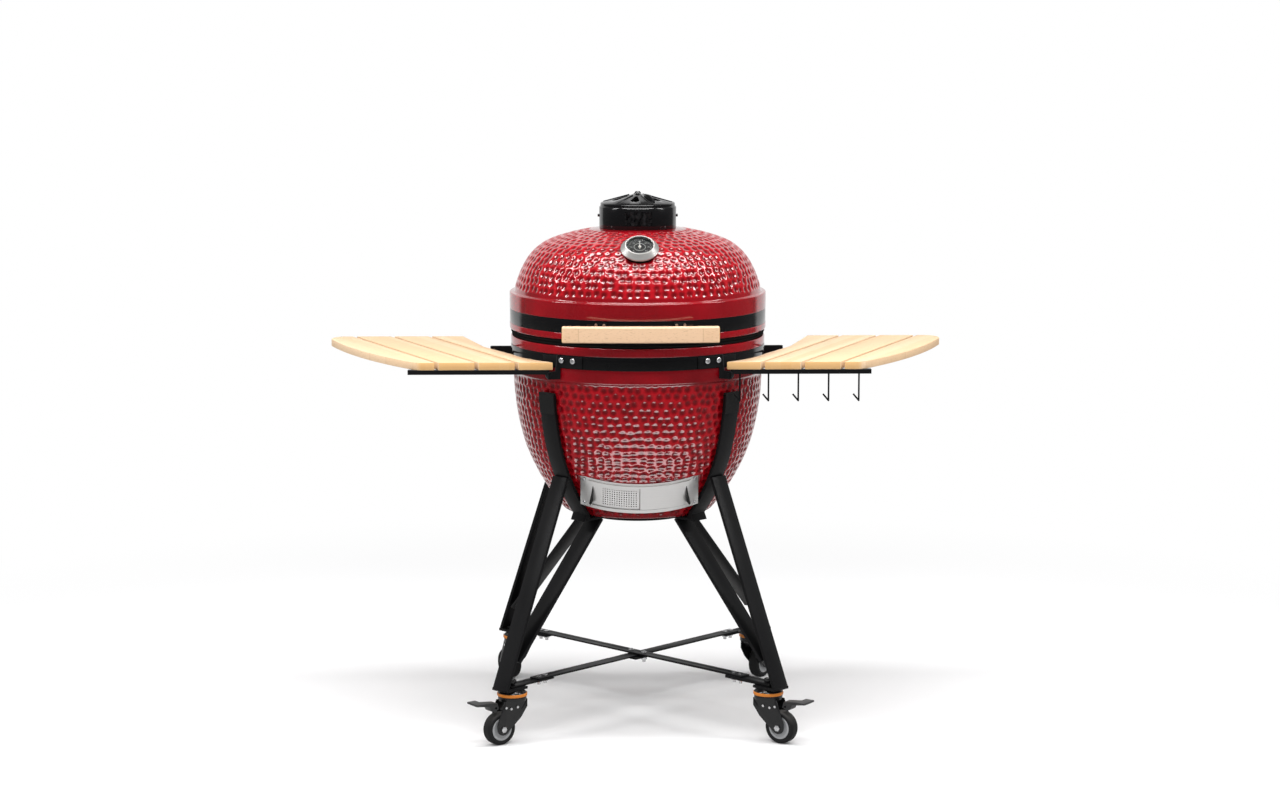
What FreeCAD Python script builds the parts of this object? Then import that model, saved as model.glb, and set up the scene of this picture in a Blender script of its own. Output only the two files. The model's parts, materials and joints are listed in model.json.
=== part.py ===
import FreeCAD, Part
import Sketcher
import math
import os

# A ceramic charcoal grill on a wheeled steel cart, in millimetres.
# Origin: on the floor, on the axis of the ceramic bowl. +Z is up, the draft door faces -Y.

doc = FreeCAD.newDocument("CeramicGrill")
Vector = FreeCAD.Vector
Rotation = FreeCAD.Rotation

driving = {
    # ceramic bowl
    "bowlRadius": 295.0, "bowlTopZ": 835.0, "waistRadius": 267.0, "waistZ": 655.0,
    "footRadius": 177.0, "footZ": 502.0, "upperArc": 592.7, "lowerArc": 496.8,
    "wall": 25.0, "floorThickness": 25.0, "innerFootRadius": 165.0,
    "rimRadius": 300.0, "baseTopZ": 918.0, "grooveDepth": 2.5,
    # steel bands
    "baseBandZ": 867.0, "baseBandTall": 31.0, "lidBandZ": 949.0, "lidBandTall": 33.0,
    "bandThickness": 2.6, "fitGap": 0.3,
    # ceramic lid
    "lidBottomZ": 934.0, "lidRimTopZ": 1021.0, "lidRimRadius": 304.0, "domeRadius": 293.0,
    "shoulderRadius": 264.0, "shoulderZ": 1095.0, "crownRadius": 202.0, "crownZ": 1145.0,
    "chimneyRadius": 60.0, "chimneyZ": 1172.0, "lidWall": 22.0,
    "domeLowArc": 223.0, "domeMidArc": 121.7, "domeTopArc": 460.0,
    # felt and inner ceramics
    "gasketTall": 8.0, "gasketInner": 277.0, "gasketOuter": 299.0,
    "fireBoxFoot": 150.0, "fireBoxTop": 228.0, "fireBoxTopZ": 705.0, "fireWall": 18.0,
    "charcoalGrateRadius": 137.0, "charcoalGrateZ": 585.0, "fireRingTop": 254.0,
    "fireRingTopZ": 812.0, "cookingGrateRadius": 250.0, "rodRadius": 2.5, "rodPitch": 18.0,
    # chimney top
    "collarRadius": 91.0, "collarTopZ": 1223.0, "collarWall": 6.0, "capRadius": 88.0,
    "capFootZ": 1223.5, "capEdgeZ": 1229.0, "capTopZ": 1250.0, "seatThickness": 5.0,
    # thermometer
    "gaugeY": -222.0, "gaugeZ": 1136.4, "gaugeTilt": 33.0, "gaugeRadius": 44.0,
    "dialRadius": 30.0, "stemRadius": 4.0,
    # handle
    "handleHalf": 179.0, "handleFront": 353.0, "handleSag": 8.0, "handleThick": 20.0,
    "handleZ": 938.0, "handleTall": 37.0, "handleBracketX": 90.0,
    # rear hinge
    "hingeY": 338.0, "hingeZ": 926.0, "hingePinRadius": 5.0, "hingeHalf": 60.0, "runGap": 0.05,
    # draft door, on a cylinder whose axis leans forwards
    "doorLean": 17.0, "doorPlateRadius": 213.5, "doorFrontY": -234.0, "doorMidZ": 560.0,
    "doorFrameTall": 76.0, "doorFrameAngle": 80.0, "doorTall": 60.0, "doorAngle": 31.5,
    # shelves
    "boardTopZ": 881.0, "boardThick": 18.0, "shelfFrontY": -243.0, "shelfRearY": 246.0,
    "shelfTipX": 742.0, "shelfSlant": 24.5, "boardGap": 8.0, "barTall": 10.0,
    "foldX": 205.0, "foldZ": 850.0, "rearArmY": 107.0, "foldPinRadius": 4.0,
    # cart
    "legWidth": 46.0, "legThick": 8.0, "padGap": 2.5, "armTopZ": 803.0,
    "kneeR": 262.0, "kneeZ": 604.0, "ankleR": 460.0, "ankleZ": 132.0, "plateThick": 6.0,
    "strutTopR": 147.0, "strutTopZ": 494.0, "strutFootR": 419.0, "strutFootZ": 193.0,
    "barWidth": 30.0, "barThick": 3.5,
    # casters
    "casterX": 297.0, "wheelRadius": 38.0, "wheelWidth": 28.0, "trail": 37.0, "axleRadius": 4.0,
    "frontTrailYaw": 216.0, "rearTrailYaw": 123.5,
}

sheet = doc.addObject("Spreadsheet::Sheet", "Sizes")
for row, (alias, number) in enumerate(driving.items(), start=1):
    sheet.set(f"A{row}", alias)
    sheet.set(f"B{row}", str(number))
    sheet.setAlias(f"B{row}", alias)
doc.recompute()


class Size:
    """A number together with the sheet expression that gives it."""

    def __init__(self, value, text):
        self.value = value
        self.text = text

    def __add__(self, other):
        other = asSize(other)
        return Size(self.value + other.value, f"({self.text} + {other.text})")

    def __radd__(self, other):
        return asSize(other) + self

    def __sub__(self, other):
        other = asSize(other)
        return Size(self.value - other.value, f"({self.text} - {other.text})")

    def __rsub__(self, other):
        return asSize(other) - self

    def __mul__(self, other):
        other = asSize(other)
        return Size(self.value * other.value, f"({self.text} * {other.text})")

    def __rmul__(self, other):
        return asSize(other) * self

    def __truediv__(self, other):
        other = asSize(other)
        return Size(self.value / other.value, f"({self.text} / {other.text})")

    def __neg__(self):
        return Size(-self.value, f"(0 - {self.text})")


def asSize(item):
    """Any number or Size as a Size."""
    if isinstance(item, Size):
        return item
    return Size(float(item), f"({float(item)!r})")


class Cells:
    """Reads the sheet's cells as Sizes: cells.wall, cells.rimRadius and so on."""

    def __getattr__(self, alias):
        return Size(float(getattr(sheet, alias)), f"Sizes.{alias}")


cells = Cells()


def bind(feature, name, item):
    """Bind one property of a feature to the sheet, or set it to a plain number."""
    if isinstance(item, Size):
        feature.setExpression(name, item.text)
    else:
        setattr(feature, name, item)


def put(feature, place):
    """Place a feature. place is (x, y, z) or (x, y, z, Rotation)."""
    if place is None:
        return feature
    turn = place[3] if len(place) > 3 else Rotation()
    x, y, z = [asSize(item).value for item in place[:3]]
    feature.Placement = FreeCAD.Placement(Vector(x, y, z), turn)
    for axis, item in zip("xyz", place[:3]):
        if isinstance(item, Size):
            feature.setExpression(f"Placement.Base.{axis}", item.text)
    return feature


def turnZ(degrees):
    return Rotation(Vector(0, 0, 1), degrees)


def turnX(degrees):
    return Rotation(Vector(1, 0, 0), degrees)


def turnY(degrees):
    return Rotation(Vector(0, 1, 0), degrees)


# ---------------------------------------------------------------- shapes from primitives

def box(name, length, width, height, place=None):
    feature = doc.addObject("Part::Box", name)
    bind(feature, "Length", length)
    bind(feature, "Width", width)
    bind(feature, "Height", height)
    return put(feature, place)


def cylinder(name, radius, height, place=None, angle=360.0):
    feature = doc.addObject("Part::Cylinder", name)
    bind(feature, "Radius", radius)
    bind(feature, "Height", height)
    bind(feature, "Angle", angle)
    return put(feature, place)


def cone(name, lowRadius, highRadius, height, place=None):
    feature = doc.addObject("Part::Cone", name)
    bind(feature, "Radius1", lowRadius)
    bind(feature, "Radius2", highRadius)
    bind(feature, "Height", height)
    return put(feature, place)


def hexagon(name, radius, height, place=None):
    feature = doc.addObject("Part::Prism", name)
    feature.Polygon = 6
    bind(feature, "Circumradius", radius)
    bind(feature, "Height", height)
    return put(feature, place)


def fuse(name, pieces, place=None):
    feature = doc.addObject("Part::MultiFuse", name)
    feature.Shapes = pieces
    return put(feature, place)


def cut(name, base, tools, place=None):
    """The base with one or more tools taken away."""
    tool = tools[0] if len(tools) == 1 else fuse(name + "Tools", tools)
    feature = doc.addObject("Part::Cut", name)
    feature.Base = base
    feature.Tool = tool
    return put(feature, place)


def common(name, pieces, place=None):
    feature = doc.addObject("Part::MultiCommon", name)
    feature.Shapes = pieces
    return put(feature, place)


def group(name, pieces, place=None):
    """Separate solids kept together in one node."""
    feature = doc.addObject("Part::Compound", name)
    feature.Links = pieces
    return put(feature, place)


def copyOf(name, original, place):
    """The same shape again in another place."""
    feature = doc.addObject("Part::Compound", name)
    feature.Links = [original]
    return put(feature, place)


def mirrored(name, original):
    """The left-hand twin of a right-hand shape."""
    feature = doc.addObject("Part::Mirroring", name)
    feature.Source = original
    feature.Normal = Vector(1, 0, 0)
    feature.Base = Vector(0, 0, 0)
    return feature


def ringPiece(name, innerRadius, outerRadius, height, place=None, angle=360.0):
    """A ring, or a sector of one, centred on the -Y side when it is not whole."""
    span = asSize(angle).value
    start = -90.0 - span / 2.0
    outer = cylinder(name + "Outer", outerRadius, height, (0, 0, 0, turnZ(start)), angle)
    inner = cylinder(name + "Inner", innerRadius, asSize(height) + 2, (0, 0, -1))
    return cut(name, outer, [inner], place)


# ---------------------------------------------------------------- shapes from sketches

def arcBetween(start, end, radius, turn):
    """The minor arc from start to end; turn is 1 when it runs anticlockwise, -1 clockwise."""
    middle = (start + end) * 0.5
    chord = end - start
    half = chord.Length / 2.0
    reach = math.sqrt(max(radius * radius - half * half, 0.0))
    side = Vector(-chord.y, chord.x, 0).normalize() * (reach * turn)
    centre = middle + side
    first, last = (start, end) if turn > 0 else (end, start)
    a = math.atan2(first.y - centre.y, first.x - centre.x)
    b = math.atan2(last.y - centre.y, last.x - centre.x)
    if b < a:
        b += 2.0 * math.pi
    return Part.ArcOfCircle(Part.Circle(centre, Vector(0, 0, 1), radius), a, b)


def drawOutline(body, planeRole, outline, name):
    """A closed outline on one of the body's own planes, each corner held by two dimensions.

    A corner is (x, y), or (x, y, radius, turn) where the edge that reaches it is an arc.
    """
    sketch = body.newObject("Sketcher::SketchObject", name)
    plane = [item for item in body.Origin.OriginFeatures if item.Role == planeRole][0]
    sketch.AttachmentSupport = [(plane, "")]
    sketch.MapMode = "FlatFace"
    corners = [(asSize(item[0]), asSize(item[1])) for item in outline]
    points = [Vector(x.value, y.value, 0) for x, y in corners]
    ends = []
    for index in range(len(outline)):
        following = (index + 1) % len(outline)
        arrival = outline[following]
        if len(arrival) == 4:
            radius, turn = asSize(arrival[2]), arrival[3]
            edge = arcBetween(points[index], points[following], radius.value, turn)
            number = sketch.addGeometry(edge, False)
            ends.append((number, 1, 2) if turn > 0 else (number, 2, 1))
            row = sketch.addConstraint(Sketcher.Constraint("Radius", number, radius.value))
            if isinstance(arrival[2], Size):
                sketch.setExpression(f"Constraints[{row}]", radius.text)
        else:
            edge = Part.LineSegment(points[index], points[following])
            ends.append((sketch.addGeometry(edge, False), 1, 2))
    for index, (number, startPoint, endPoint) in enumerate(ends):
        nextNumber, nextStart, nextEnd = ends[(index + 1) % len(ends)]
        sketch.addConstraint(Sketcher.Constraint("Coincident", number, endPoint, nextNumber, nextStart))
        for kind, item in zip(("DistanceX", "DistanceY"), corners[index]):
            if abs(item.value) < 1e-9:
                axis = -2 if kind == "DistanceX" else -1
                sketch.addConstraint(Sketcher.Constraint("PointOnObject", number, startPoint, axis))
                continue
            row = sketch.addConstraint(
                Sketcher.Constraint(kind, -1, 1, number, startPoint, item.value))
            sketch.setExpression(f"Constraints[{row}]", item.text)
    return sketch


def revolved(name, outline, place=None):
    """A body turned about Z from an outline of (radius, height) corners."""
    body = doc.addObject("PartDesign::Body", name)
    sketch = drawOutline(body, "XZ_Plane", outline, name + "Outline")
    feature = body.newObject("PartDesign::Revolution", name + "Turned")
    feature.Profile = sketch
    feature.ReferenceAxis = (sketch, ["V_Axis"])
    feature.Angle = 360.0
    return put(body, place)


def padded(name, planeRole, outline, depth, place=None, midplane=True):
    """A body padded from an outline, evenly to both sides of its plane unless told otherwise."""
    body = doc.addObject("PartDesign::Body", name)
    sketch = drawOutline(body, planeRole, outline, name + "Outline")
    feature = body.newObject("PartDesign::Pad", name + "Padded")
    feature.Profile = sketch
    bind(feature, "Length", depth)
    feature.Midplane = midplane
    return put(body, place)


def strip(fromPoint, toPoint, thickness):
    """The four corners of a straight strip whose left edge runs from one point to the other."""
    (x0, y0), (x1, y1) = [[asSize(item) for item in point] for point in (fromPoint, toPoint)]
    run = math.hypot(x1.value - x0.value, y1.value - y0.value)
    acrossX = asSize(thickness) * ((y1.value - y0.value) / run)
    acrossY = asSize(thickness) * ((x1.value - x0.value) / run)
    return [(x0, y0), (x1, y1), (x1 + acrossX, y1 - acrossY), (x0 + acrossX, y0 - acrossY)]


subParts = []


def subPart(feature, label):
    """Mark a finished feature as a sub-part; its label is its file's name."""
    feature.Label = label
    subParts.append(feature)
    return feature


c = cells

# ---------------------------------------------------------------- ceramic bowl and what is in it

bowlOutline = [
    (0, c.footZ),
    (c.footRadius, c.footZ),
    (c.waistRadius, c.waistZ, c.lowerArc, 1),
    (c.bowlRadius, c.bowlTopZ - 4, c.upperArc, 1),
    (c.rimRadius, c.bowlTopZ),
    (c.rimRadius, c.baseBandZ),
    (c.rimRadius - c.grooveDepth, c.baseBandZ),
    (c.rimRadius - c.grooveDepth, c.baseBandZ + c.baseBandTall),
    (c.rimRadius + 1.5, c.baseBandZ + c.baseBandTall),
    (c.rimRadius + 1.5, c.baseTopZ),
    (c.rimRadius - c.wall, c.baseTopZ),
    (c.bowlRadius - c.wall, c.bowlTopZ),
    (c.waistRadius - c.wall, c.waistZ + 4, c.upperArc - c.wall, -1),
    (c.innerFootRadius, c.footZ + c.floorThickness, c.lowerArc - c.wall, -1),
    (0, c.footZ + c.floorThickness),
]
bowlShell = revolved("BowlShell", bowlOutline)

# The draft door's own frame: a cylinder leaning forwards, its axis behind the door.
leanCos = math.cos(math.radians(driving["doorLean"]))
leanSin = math.sin(math.radians(driving["doorLean"]))
doorAxisY = c.doorFrontY + c.doorPlateRadius * leanCos
doorAxisZ = c.doorMidZ + c.doorPlateRadius * leanSin
doorPlace = (0, doorAxisY, doorAxisZ, turnX(driving["doorLean"]))


def doorSector(name, innerRadius, outerRadius, tall, angle, lift=0.0, swing=0.0):
    """A piece of the door's cylinder: centred on the door's middle, lifted or swung from it."""
    piece = ringPiece(name + "Sector", innerRadius, outerRadius, tall,
                      (0, 0, asSize(lift) - asSize(tall) / 2.0, turnZ(swing)), angle)
    return group(name, [piece], doorPlace)


doorBoss = doorSector("DoorBoss", 190.0, c.doorPlateRadius - 1.8, c.doorFrameTall - 6, 76.0)
doorHole = doorSector("DoorHole", 120.0, c.doorPlateRadius + 20, 50.0, 60.0)
doorRecess = doorSector("DoorRecess", c.doorPlateRadius - 1.8, c.doorPlateRadius + 40,
                        c.doorFrameTall + 5, 83.0)
bowlWithBoss = fuse("BowlWithBoss", [bowlShell, doorBoss])
subPart(cut("BaseBowl", bowlWithBoss, [doorHole, doorRecess]), "base_bowl")

fireBoxOutline = [
    (c.fireBoxFoot, c.footZ + c.floorThickness),
    (c.fireBoxTop, c.fireBoxTopZ),
    (c.fireBoxTop - c.fireWall, c.fireBoxTopZ),
    (c.charcoalGrateRadius + 24, c.charcoalGrateZ + 8),
    (c.charcoalGrateRadius + 1, c.charcoalGrateZ),
    (c.charcoalGrateRadius - 15, c.charcoalGrateZ),
    (c.charcoalGrateRadius - 15, c.charcoalGrateZ - 20),
    (c.fireBoxFoot - c.fireWall, c.footZ + c.floorThickness),
]
fireBoxShell = revolved("FireBoxShell", fireBoxOutline)
ashGate = box("AshGate", 150.0, 120.0, 34.0, (-75.0, -210.0, c.footZ + c.floorThickness + 3))
subPart(cut("FireBox", fireBoxShell, [ashGate]), "fire_box")

fireRingOutline = [
    (c.fireBoxTop, c.fireBoxTopZ),
    (c.fireRingTop, c.fireRingTopZ),
    (c.fireRingTop - c.fireWall, c.fireRingTopZ),
    (c.fireBoxTop - c.fireWall, c.fireBoxTopZ),
]
subPart(revolved("FireRing", fireRingOutline), "fire_ring")

grateDisc = cylinder("GrateDisc", c.charcoalGrateRadius, 7.0, (0, 0, c.charcoalGrateZ))
grateSlots = []
slotPitch, slotHalfCount = 24.0, 4
for number in range(-slotHalfCount, slotHalfCount + 1):
    reach = math.sqrt(118.0 ** 2 - (number * slotPitch) ** 2)
    grateSlots.append(box(f"GrateSlot{number + slotHalfCount}", 11.0, 2 * reach - 20, 20.0,
                          (number * slotPitch - 5.5, 10 - reach, c.charcoalGrateZ - 5)))
grateRib = box("GrateRib", 2 * 120.0, 8.0, 4.0, (-120.0, -4.0, c.charcoalGrateZ + 1))
slottedDisc = cut("SlottedDisc", grateDisc, grateSlots)
subPart(fuse("CharcoalGrate", [slottedDisc, grateRib]), "charcoal_grate")

grateZ = c.fireRingTopZ + 8
grateRods = []
crossRods = []
rodCount = 13
for number in range(-rodCount, rodCount + 1):
    offset = number * driving["rodPitch"]
    reach = math.sqrt(driving["cookingGrateRadius"] ** 2 - offset ** 2)
    grateRods.append(cylinder(f"GrateRod{number + rodCount}", c.rodRadius, 2 * reach,
                              (offset, -reach, grateZ, turnX(-90))))
for number, offset in enumerate((-130.0, 130.0)):
    clear = driving["cookingGrateRadius"] - 3.8
    reach = math.sqrt(clear ** 2 - (abs(offset) + driving["rodRadius"]) ** 2)
    crossRods.append(cylinder(f"CrossRod{number}", c.rodRadius, 2 * reach,
                              (-reach, offset, grateZ - c.rodRadius * 2 - 0.05, turnY(90))))
grateHoop = ringPiece("GrateHoop", c.cookingGrateRadius - 3.5, c.cookingGrateRadius + 3.5, 11.4,
                      (0, 0, c.fireRingTopZ + 0.1))
subPart(group("CookingGrate", [fuse("GrateTop", [grateHoop] + grateRods)] + crossRods), "cooking_grate")

# ---------------------------------------------------------------- lid

domeOutline = [
    (c.lidRimRadius - c.lidWall, c.lidBottomZ),
    (c.lidRimRadius, c.lidBottomZ),
    (c.lidRimRadius, c.lidBandZ),
    (c.lidRimRadius - c.grooveDepth - 1, c.lidBandZ),
    (c.lidRimRadius - c.grooveDepth - 1, c.lidBandZ + c.lidBandTall),
    (c.lidRimRadius, c.lidBandZ + c.lidBandTall),
    (c.lidRimRadius, c.lidRimTopZ - 4),
    (c.lidRimRadius - 6, c.lidRimTopZ),
    (c.domeRadius, c.lidRimTopZ),
    (c.shoulderRadius, c.shoulderZ, c.domeLowArc, 1),
    (c.crownRadius, c.crownZ, c.domeMidArc, 1),
    (c.chimneyRadius, c.chimneyZ, c.domeTopArc, 1),
    (c.chimneyRadius, c.chimneyZ - c.lidWall),
    (c.crownRadius - 7.5, c.crownZ - 20.7, c.domeTopArc - c.lidWall, -1),
    (c.shoulderRadius - 18.7, c.shoulderZ - 11.7, c.domeMidArc - c.lidWall, -1),
    (c.domeRadius - c.lidWall, c.lidRimTopZ, c.domeLowArc - c.lidWall, -1),
]
domeShell = revolved("DomeShell", domeOutline)

gaugeTurn = turnX(driving["gaugeTilt"])
gaugePlace = (0, c.gaugeY, c.gaugeZ, gaugeTurn)
stemHole = cylinder("StemHole", c.stemRadius + 1, 90.0,
                    (0, c.gaugeY, c.gaugeZ, gaugeTurn * turnX(180)))
stemHoleUp = cylinder("StemHoleUp", c.stemRadius + 1, 20.0, gaugePlace)
subPart(cut("DomeLid", domeShell, [stemHole, stemHoleUp]), "dome_lid")

gasketLow = ringPiece("BaseGasket", c.gasketInner, c.gasketOuter, c.gasketTall, (0, 0, c.baseTopZ))
subPart(gasketLow, "base_gasket")
gasketHigh = ringPiece("LidGasket", c.gasketInner + 6, c.gasketOuter + 2, c.gasketTall,
                       (0, 0, c.lidBottomZ - c.gasketTall))
subPart(gasketHigh, "lid_gasket")

# ---------------------------------------------------------------- steel bands

baseBandInner = c.rimRadius - c.grooveDepth + c.fitGap
lidBandInner = c.lidRimRadius - c.grooveDepth - 1 + c.fitGap
baseBandOuter = baseBandInner + c.bandThickness + 1
lidBandOuter = lidBandInner + c.bandThickness
subPart(ringPiece("BaseBand", baseBandInner, baseBandOuter, c.baseBandTall - 0.6,
                  (0, 0, c.baseBandZ + 0.3)), "base_band")
subPart(ringPiece("LidBand", lidBandInner, lidBandOuter, c.lidBandTall - 0.6,
                  (0, 0, c.lidBandZ + 0.3)), "lid_band")

# ---------------------------------------------------------------- handle

handleFrontEnd = c.handleSag - c.handleFront
handleArc = 2006.0
handleOutline = [
    (-c.handleHalf, handleFrontEnd),
    (c.handleHalf, handleFrontEnd, handleArc, 1),
    (c.handleHalf, handleFrontEnd + c.handleThick),
    (-c.handleHalf, handleFrontEnd + c.handleThick, handleArc - c.handleThick, -1),
]
handleBar = padded("HandleBar", "XY_Plane", handleOutline, c.handleTall,
                   (0, 0, c.handleZ), midplane=False)
handleEdge = handleBar.newObject("PartDesign::Fillet", "HandleRound")
doc.recompute()
handleEdge.Base = (handleBar.Group[1], [f"Edge{n + 1}" for n in range(len(handleBar.Group[1].Shape.Edges))])
handleEdge.Radius = 4.0
handleBar.Tip = handleEdge
subPart(handleBar, "lid_handle")

handleBack = c.handleFront - c.handleThick
bracketPieces = []
boltPieces = []
for side in (-1, 1):
    name = "Left" if side < 0 else "Right"
    x = c.handleBracketX * side
    arm = box(f"HandleArm{name}", 8.0, handleBack - 278, 16.0, (x - 4, -handleBack + 2.6, c.handleZ + 12))
    toe = box(f"HandleToe{name}", 26.0, 60.0, 26.0, (x - 13, -332.0, c.lidBandZ + 3))
    toeFace = ringPiece(f"HandleToeFace{name}", lidBandOuter + c.fitGap, lidBandOuter + 3.6, 60.0,
                        (0, 0, c.lidBandZ - 10), 60.0)
    toePlate = common(f"HandleToePlate{name}", [toe, toeFace])
    bandRoom = cylinder(f"BandRoom{name}", lidBandOuter + c.fitGap, 80.0, (0, 0, c.handleZ - 10))
    armOpen = cut(f"HandleArmOpen{name}", arm, [bandRoom])
    head = box(f"HandleHead{name}", 30.0, 4.0, 20.0, (x - 15, -handleBack + 2.6, c.handleZ + 5))
    bracketPieces.append(fuse(f"HandleBracket{name}", [armOpen, toePlate, head]))
    for step in (-9, 9):
        azimuth = math.degrees(math.asin((driving["handleBracketX"] * side + step) / 304.0))
        place = FreeCAD.Placement(Vector(0, 0, driving["lidBandZ"] + 24), turnZ(azimuth))
        spot = place.multVec(Vector(0, -(driving["lidRimRadius"] + 3.4), 0))
        boltPieces.append(cylinder(f"HandleBolt{name}{step + 9}", 3.5, 3.5,
                                   (spot.x, spot.y, spot.z, turnZ(azimuth) * turnX(90))))
subPart(group("HandleBrackets", bracketPieces), "handle_brackets")
subPart(group("HandleBolts", boltPieces), "handle_bolts")

# ---------------------------------------------------------------- thermometer

gaugeSeatRing = ringPiece("GaugeSeatRing", 12.0, c.gaugeRadius - 3, 12.0, (0, 0, -11.0))
gaugeSeatAt = group("GaugeSeatAt", [gaugeSeatRing], gaugePlace)
domeCore = revolved("DomeCore", [(0, c.lidRimTopZ)] + domeOutline[8:12] + [(0, c.chimneyZ)])
subPart(cut("GaugeSeat", gaugeSeatAt, [domeCore]), "gauge_seat")

gaugeCaseOutline = [
    (c.stemRadius + 0.2, 1.2),
    (c.gaugeRadius - 2, 1.2),
    (c.gaugeRadius, 3.5),
    (c.gaugeRadius, 6.0),
    (c.gaugeRadius - 10, 17.0),
    (c.dialRadius + 1.5, 17.0),
    (c.dialRadius + 1.5, 4.0),
    (c.stemRadius + 0.2, 4.0),
]
gaugeShell = revolved("GaugeShell", gaugeCaseOutline)
stemRod = cylinder("StemRod", c.stemRadius, 84.0, (0, 0, -80.0))
stemCollar = cylinder("StemCollar", c.stemRadius + 1, 2.8, (0, 0, 1.2))
gaugeWhole = fuse("GaugeWhole", [gaugeShell, stemRod, stemCollar])
subPart(group("GaugeCase", [gaugeWhole], gaugePlace), "gauge_case")
dialDisc = ringPiece("DialDisc", 1.6, c.dialRadius + 1.3, 1.2, (0, 0, 8.0))
subPart(group("GaugeDial", [dialDisc], gaugePlace), "gauge_dial")
needleBlade = padded("NeedleBlade", "XY_Plane", [(-1.4, -7.0), (1.4, -7.0), (0.5, 23.0), (-0.5, 23.0)],
                     0.8, (0, 0, 10.0), midplane=False)
needleHub = cylinder("NeedleHub", 3.5, 1.6, (0, 0, 9.6))
needleShaft = cylinder("NeedleShaft", 1.5, 6.0, (0, 0, 5.0))
needleWhole = fuse("NeedleWhole", [needleBlade, needleHub, needleShaft])
subPart(group("GaugeNeedle", [needleWhole], gaugePlace), "gauge_needle")
glassDisc = cylinder("GlassDisc", c.dialRadius + 1.3, 2.0, (0, 0, 13.5))
subPart(group("GaugeGlass", [glassDisc], gaugePlace), "gauge_glass")

# ---------------------------------------------------------------- chimney top

collarOutline = [
    (c.chimneyRadius + 1, c.chimneyZ + 0.5),
    (c.collarRadius, c.chimneyZ - 1.7),
    (c.collarRadius, c.collarTopZ - 4),
    (c.collarRadius - 3, c.collarTopZ),
    (c.collarRadius - c.collarWall, c.collarTopZ),
    (c.collarRadius - c.collarWall, c.collarTopZ - c.seatThickness - 1),
    (c.collarRadius - c.collarWall - 4, c.collarTopZ - c.seatThickness - 4),
    (c.collarRadius - c.collarWall - 4, c.chimneyZ + 8),
    (c.chimneyRadius + 1, c.chimneyZ + 6),
]
subPart(revolved("VentCollar", collarOutline), "vent_collar")

portCount, firstPort = 6, 262.0


def ventPorts(name, lowZ, tall):
    """Teardrop ports about the chimney's axis: a round outer end that narrows inwards."""
    ports = []
    for number in range(portCount):
        angle = firstPort + 360.0 * number / portCount
        port = padded(f"{name}{number}", "XY_Plane",
                      [(26.0, -3.0), (56.0, -11.0), (56.0, 11.0, 11.5, 1), (26.0, 3.0)],
                      tall, (0, 0, lowZ, turnZ(angle)), midplane=False)
        ports.append(port)
    return ports


seatZ = c.collarTopZ - c.seatThickness - 1
seatDisc = cylinder("SeatDisc", c.collarRadius - c.collarWall - c.fitGap, c.seatThickness, (0, 0, seatZ))
seatBore = cylinder("SeatBore", 4.05, 20.0, (0, 0, seatZ - 5))
subPart(cut("VentSeat", seatDisc, ventPorts("SeatPort", seatZ - 5, 20.0) + [seatBore]), "vent_seat")

capOutline = [
    (4.05, c.capTopZ - 8),
    (4.05, c.capTopZ),
    (15.0, c.capTopZ - 2),
    (c.capRadius - 2, c.capEdgeZ + 1),
    (c.capRadius, c.capEdgeZ - 1),
    (c.capRadius, c.capFootZ),
    (c.capRadius - 6, c.capFootZ),
    (c.capRadius - 7, c.capEdgeZ - 3),
    (14.0, c.capTopZ - 8),
]
capShell = revolved("CapShell", capOutline)
capPorted = cut("CapPorted", capShell, ventPorts("CapPort", c.capFootZ - 2, 60.0))
capLever = padded("CapLever", "YZ_Plane",
                  [(-74.0, 1230.0), (-30.0, 1240.0), (-34.0, 1252.0), (-56.0, 1250.0), (-74.0, 1238.0)],
                  5.0, (0, 0, 0, turnZ(30.0)))
subPart(fuse("VentCap", [capPorted, capLever]), "vent_cap")
pinRod = cylinder("PinRod", 4.0, 40.0, (0, 0, c.capTopZ - 37))
pinHead = cone("PinHead", 9.0, 5.0, 5.5, (0, 0, c.capTopZ + 0.5))
subPart(fuse("VentPin", [pinRod, pinHead]), "vent_pin")

# ---------------------------------------------------------------- rear hinge

barrelRadius = 10.0
pinLength = c.hingeHalf * 2
hingeLow = box("HingeLow", 2 * 52.0, 46.0, 27.0, (-52.0, 296.0, c.baseBandZ + 2))
hingeLowFace = cylinder("HingeLowFace", baseBandOuter + 4, 60.0, (0, 0, c.baseBandZ - 5))
bandRoomLow = cylinder("BandRoomLow", baseBandOuter + c.fitGap, 90.0, (0, 0, c.baseBandZ - 10))
lowPlate = common("HingeLowPlate", [hingeLow, hingeLowFace])
ears = []
for side in (-1, 1):
    name = "Left" if side < 0 else "Right"
    earOutline = [(300.0, c.baseBandZ + 2), (c.hingeY + 6, c.baseBandZ + 12),
                  (c.hingeY + barrelRadius, c.hingeZ - 2), (c.hingeY + 4, c.hingeZ + 9),
                  (c.hingeY - 6, c.hingeZ + 8), (c.hingeY - 12, c.baseBandZ + 29),
                  (300.0, c.baseBandZ + 29)]
    ears.append(padded(f"HingeEar{name}", "YZ_Plane", earOutline, 6.0, (side * 46.0, 0, 0)))
hingeBaseRaw = fuse("HingeBaseRaw", [lowPlate] + ears)
pinBoreLow = cylinder("PinBoreLow", c.hingePinRadius + c.runGap, 200.0,
                     (-100.0, c.hingeY, c.hingeZ, turnY(90)))
subPart(cut("HingeBase", hingeBaseRaw, [bandRoomLow, pinBoreLow]), "hinge_base_bracket")

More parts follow.
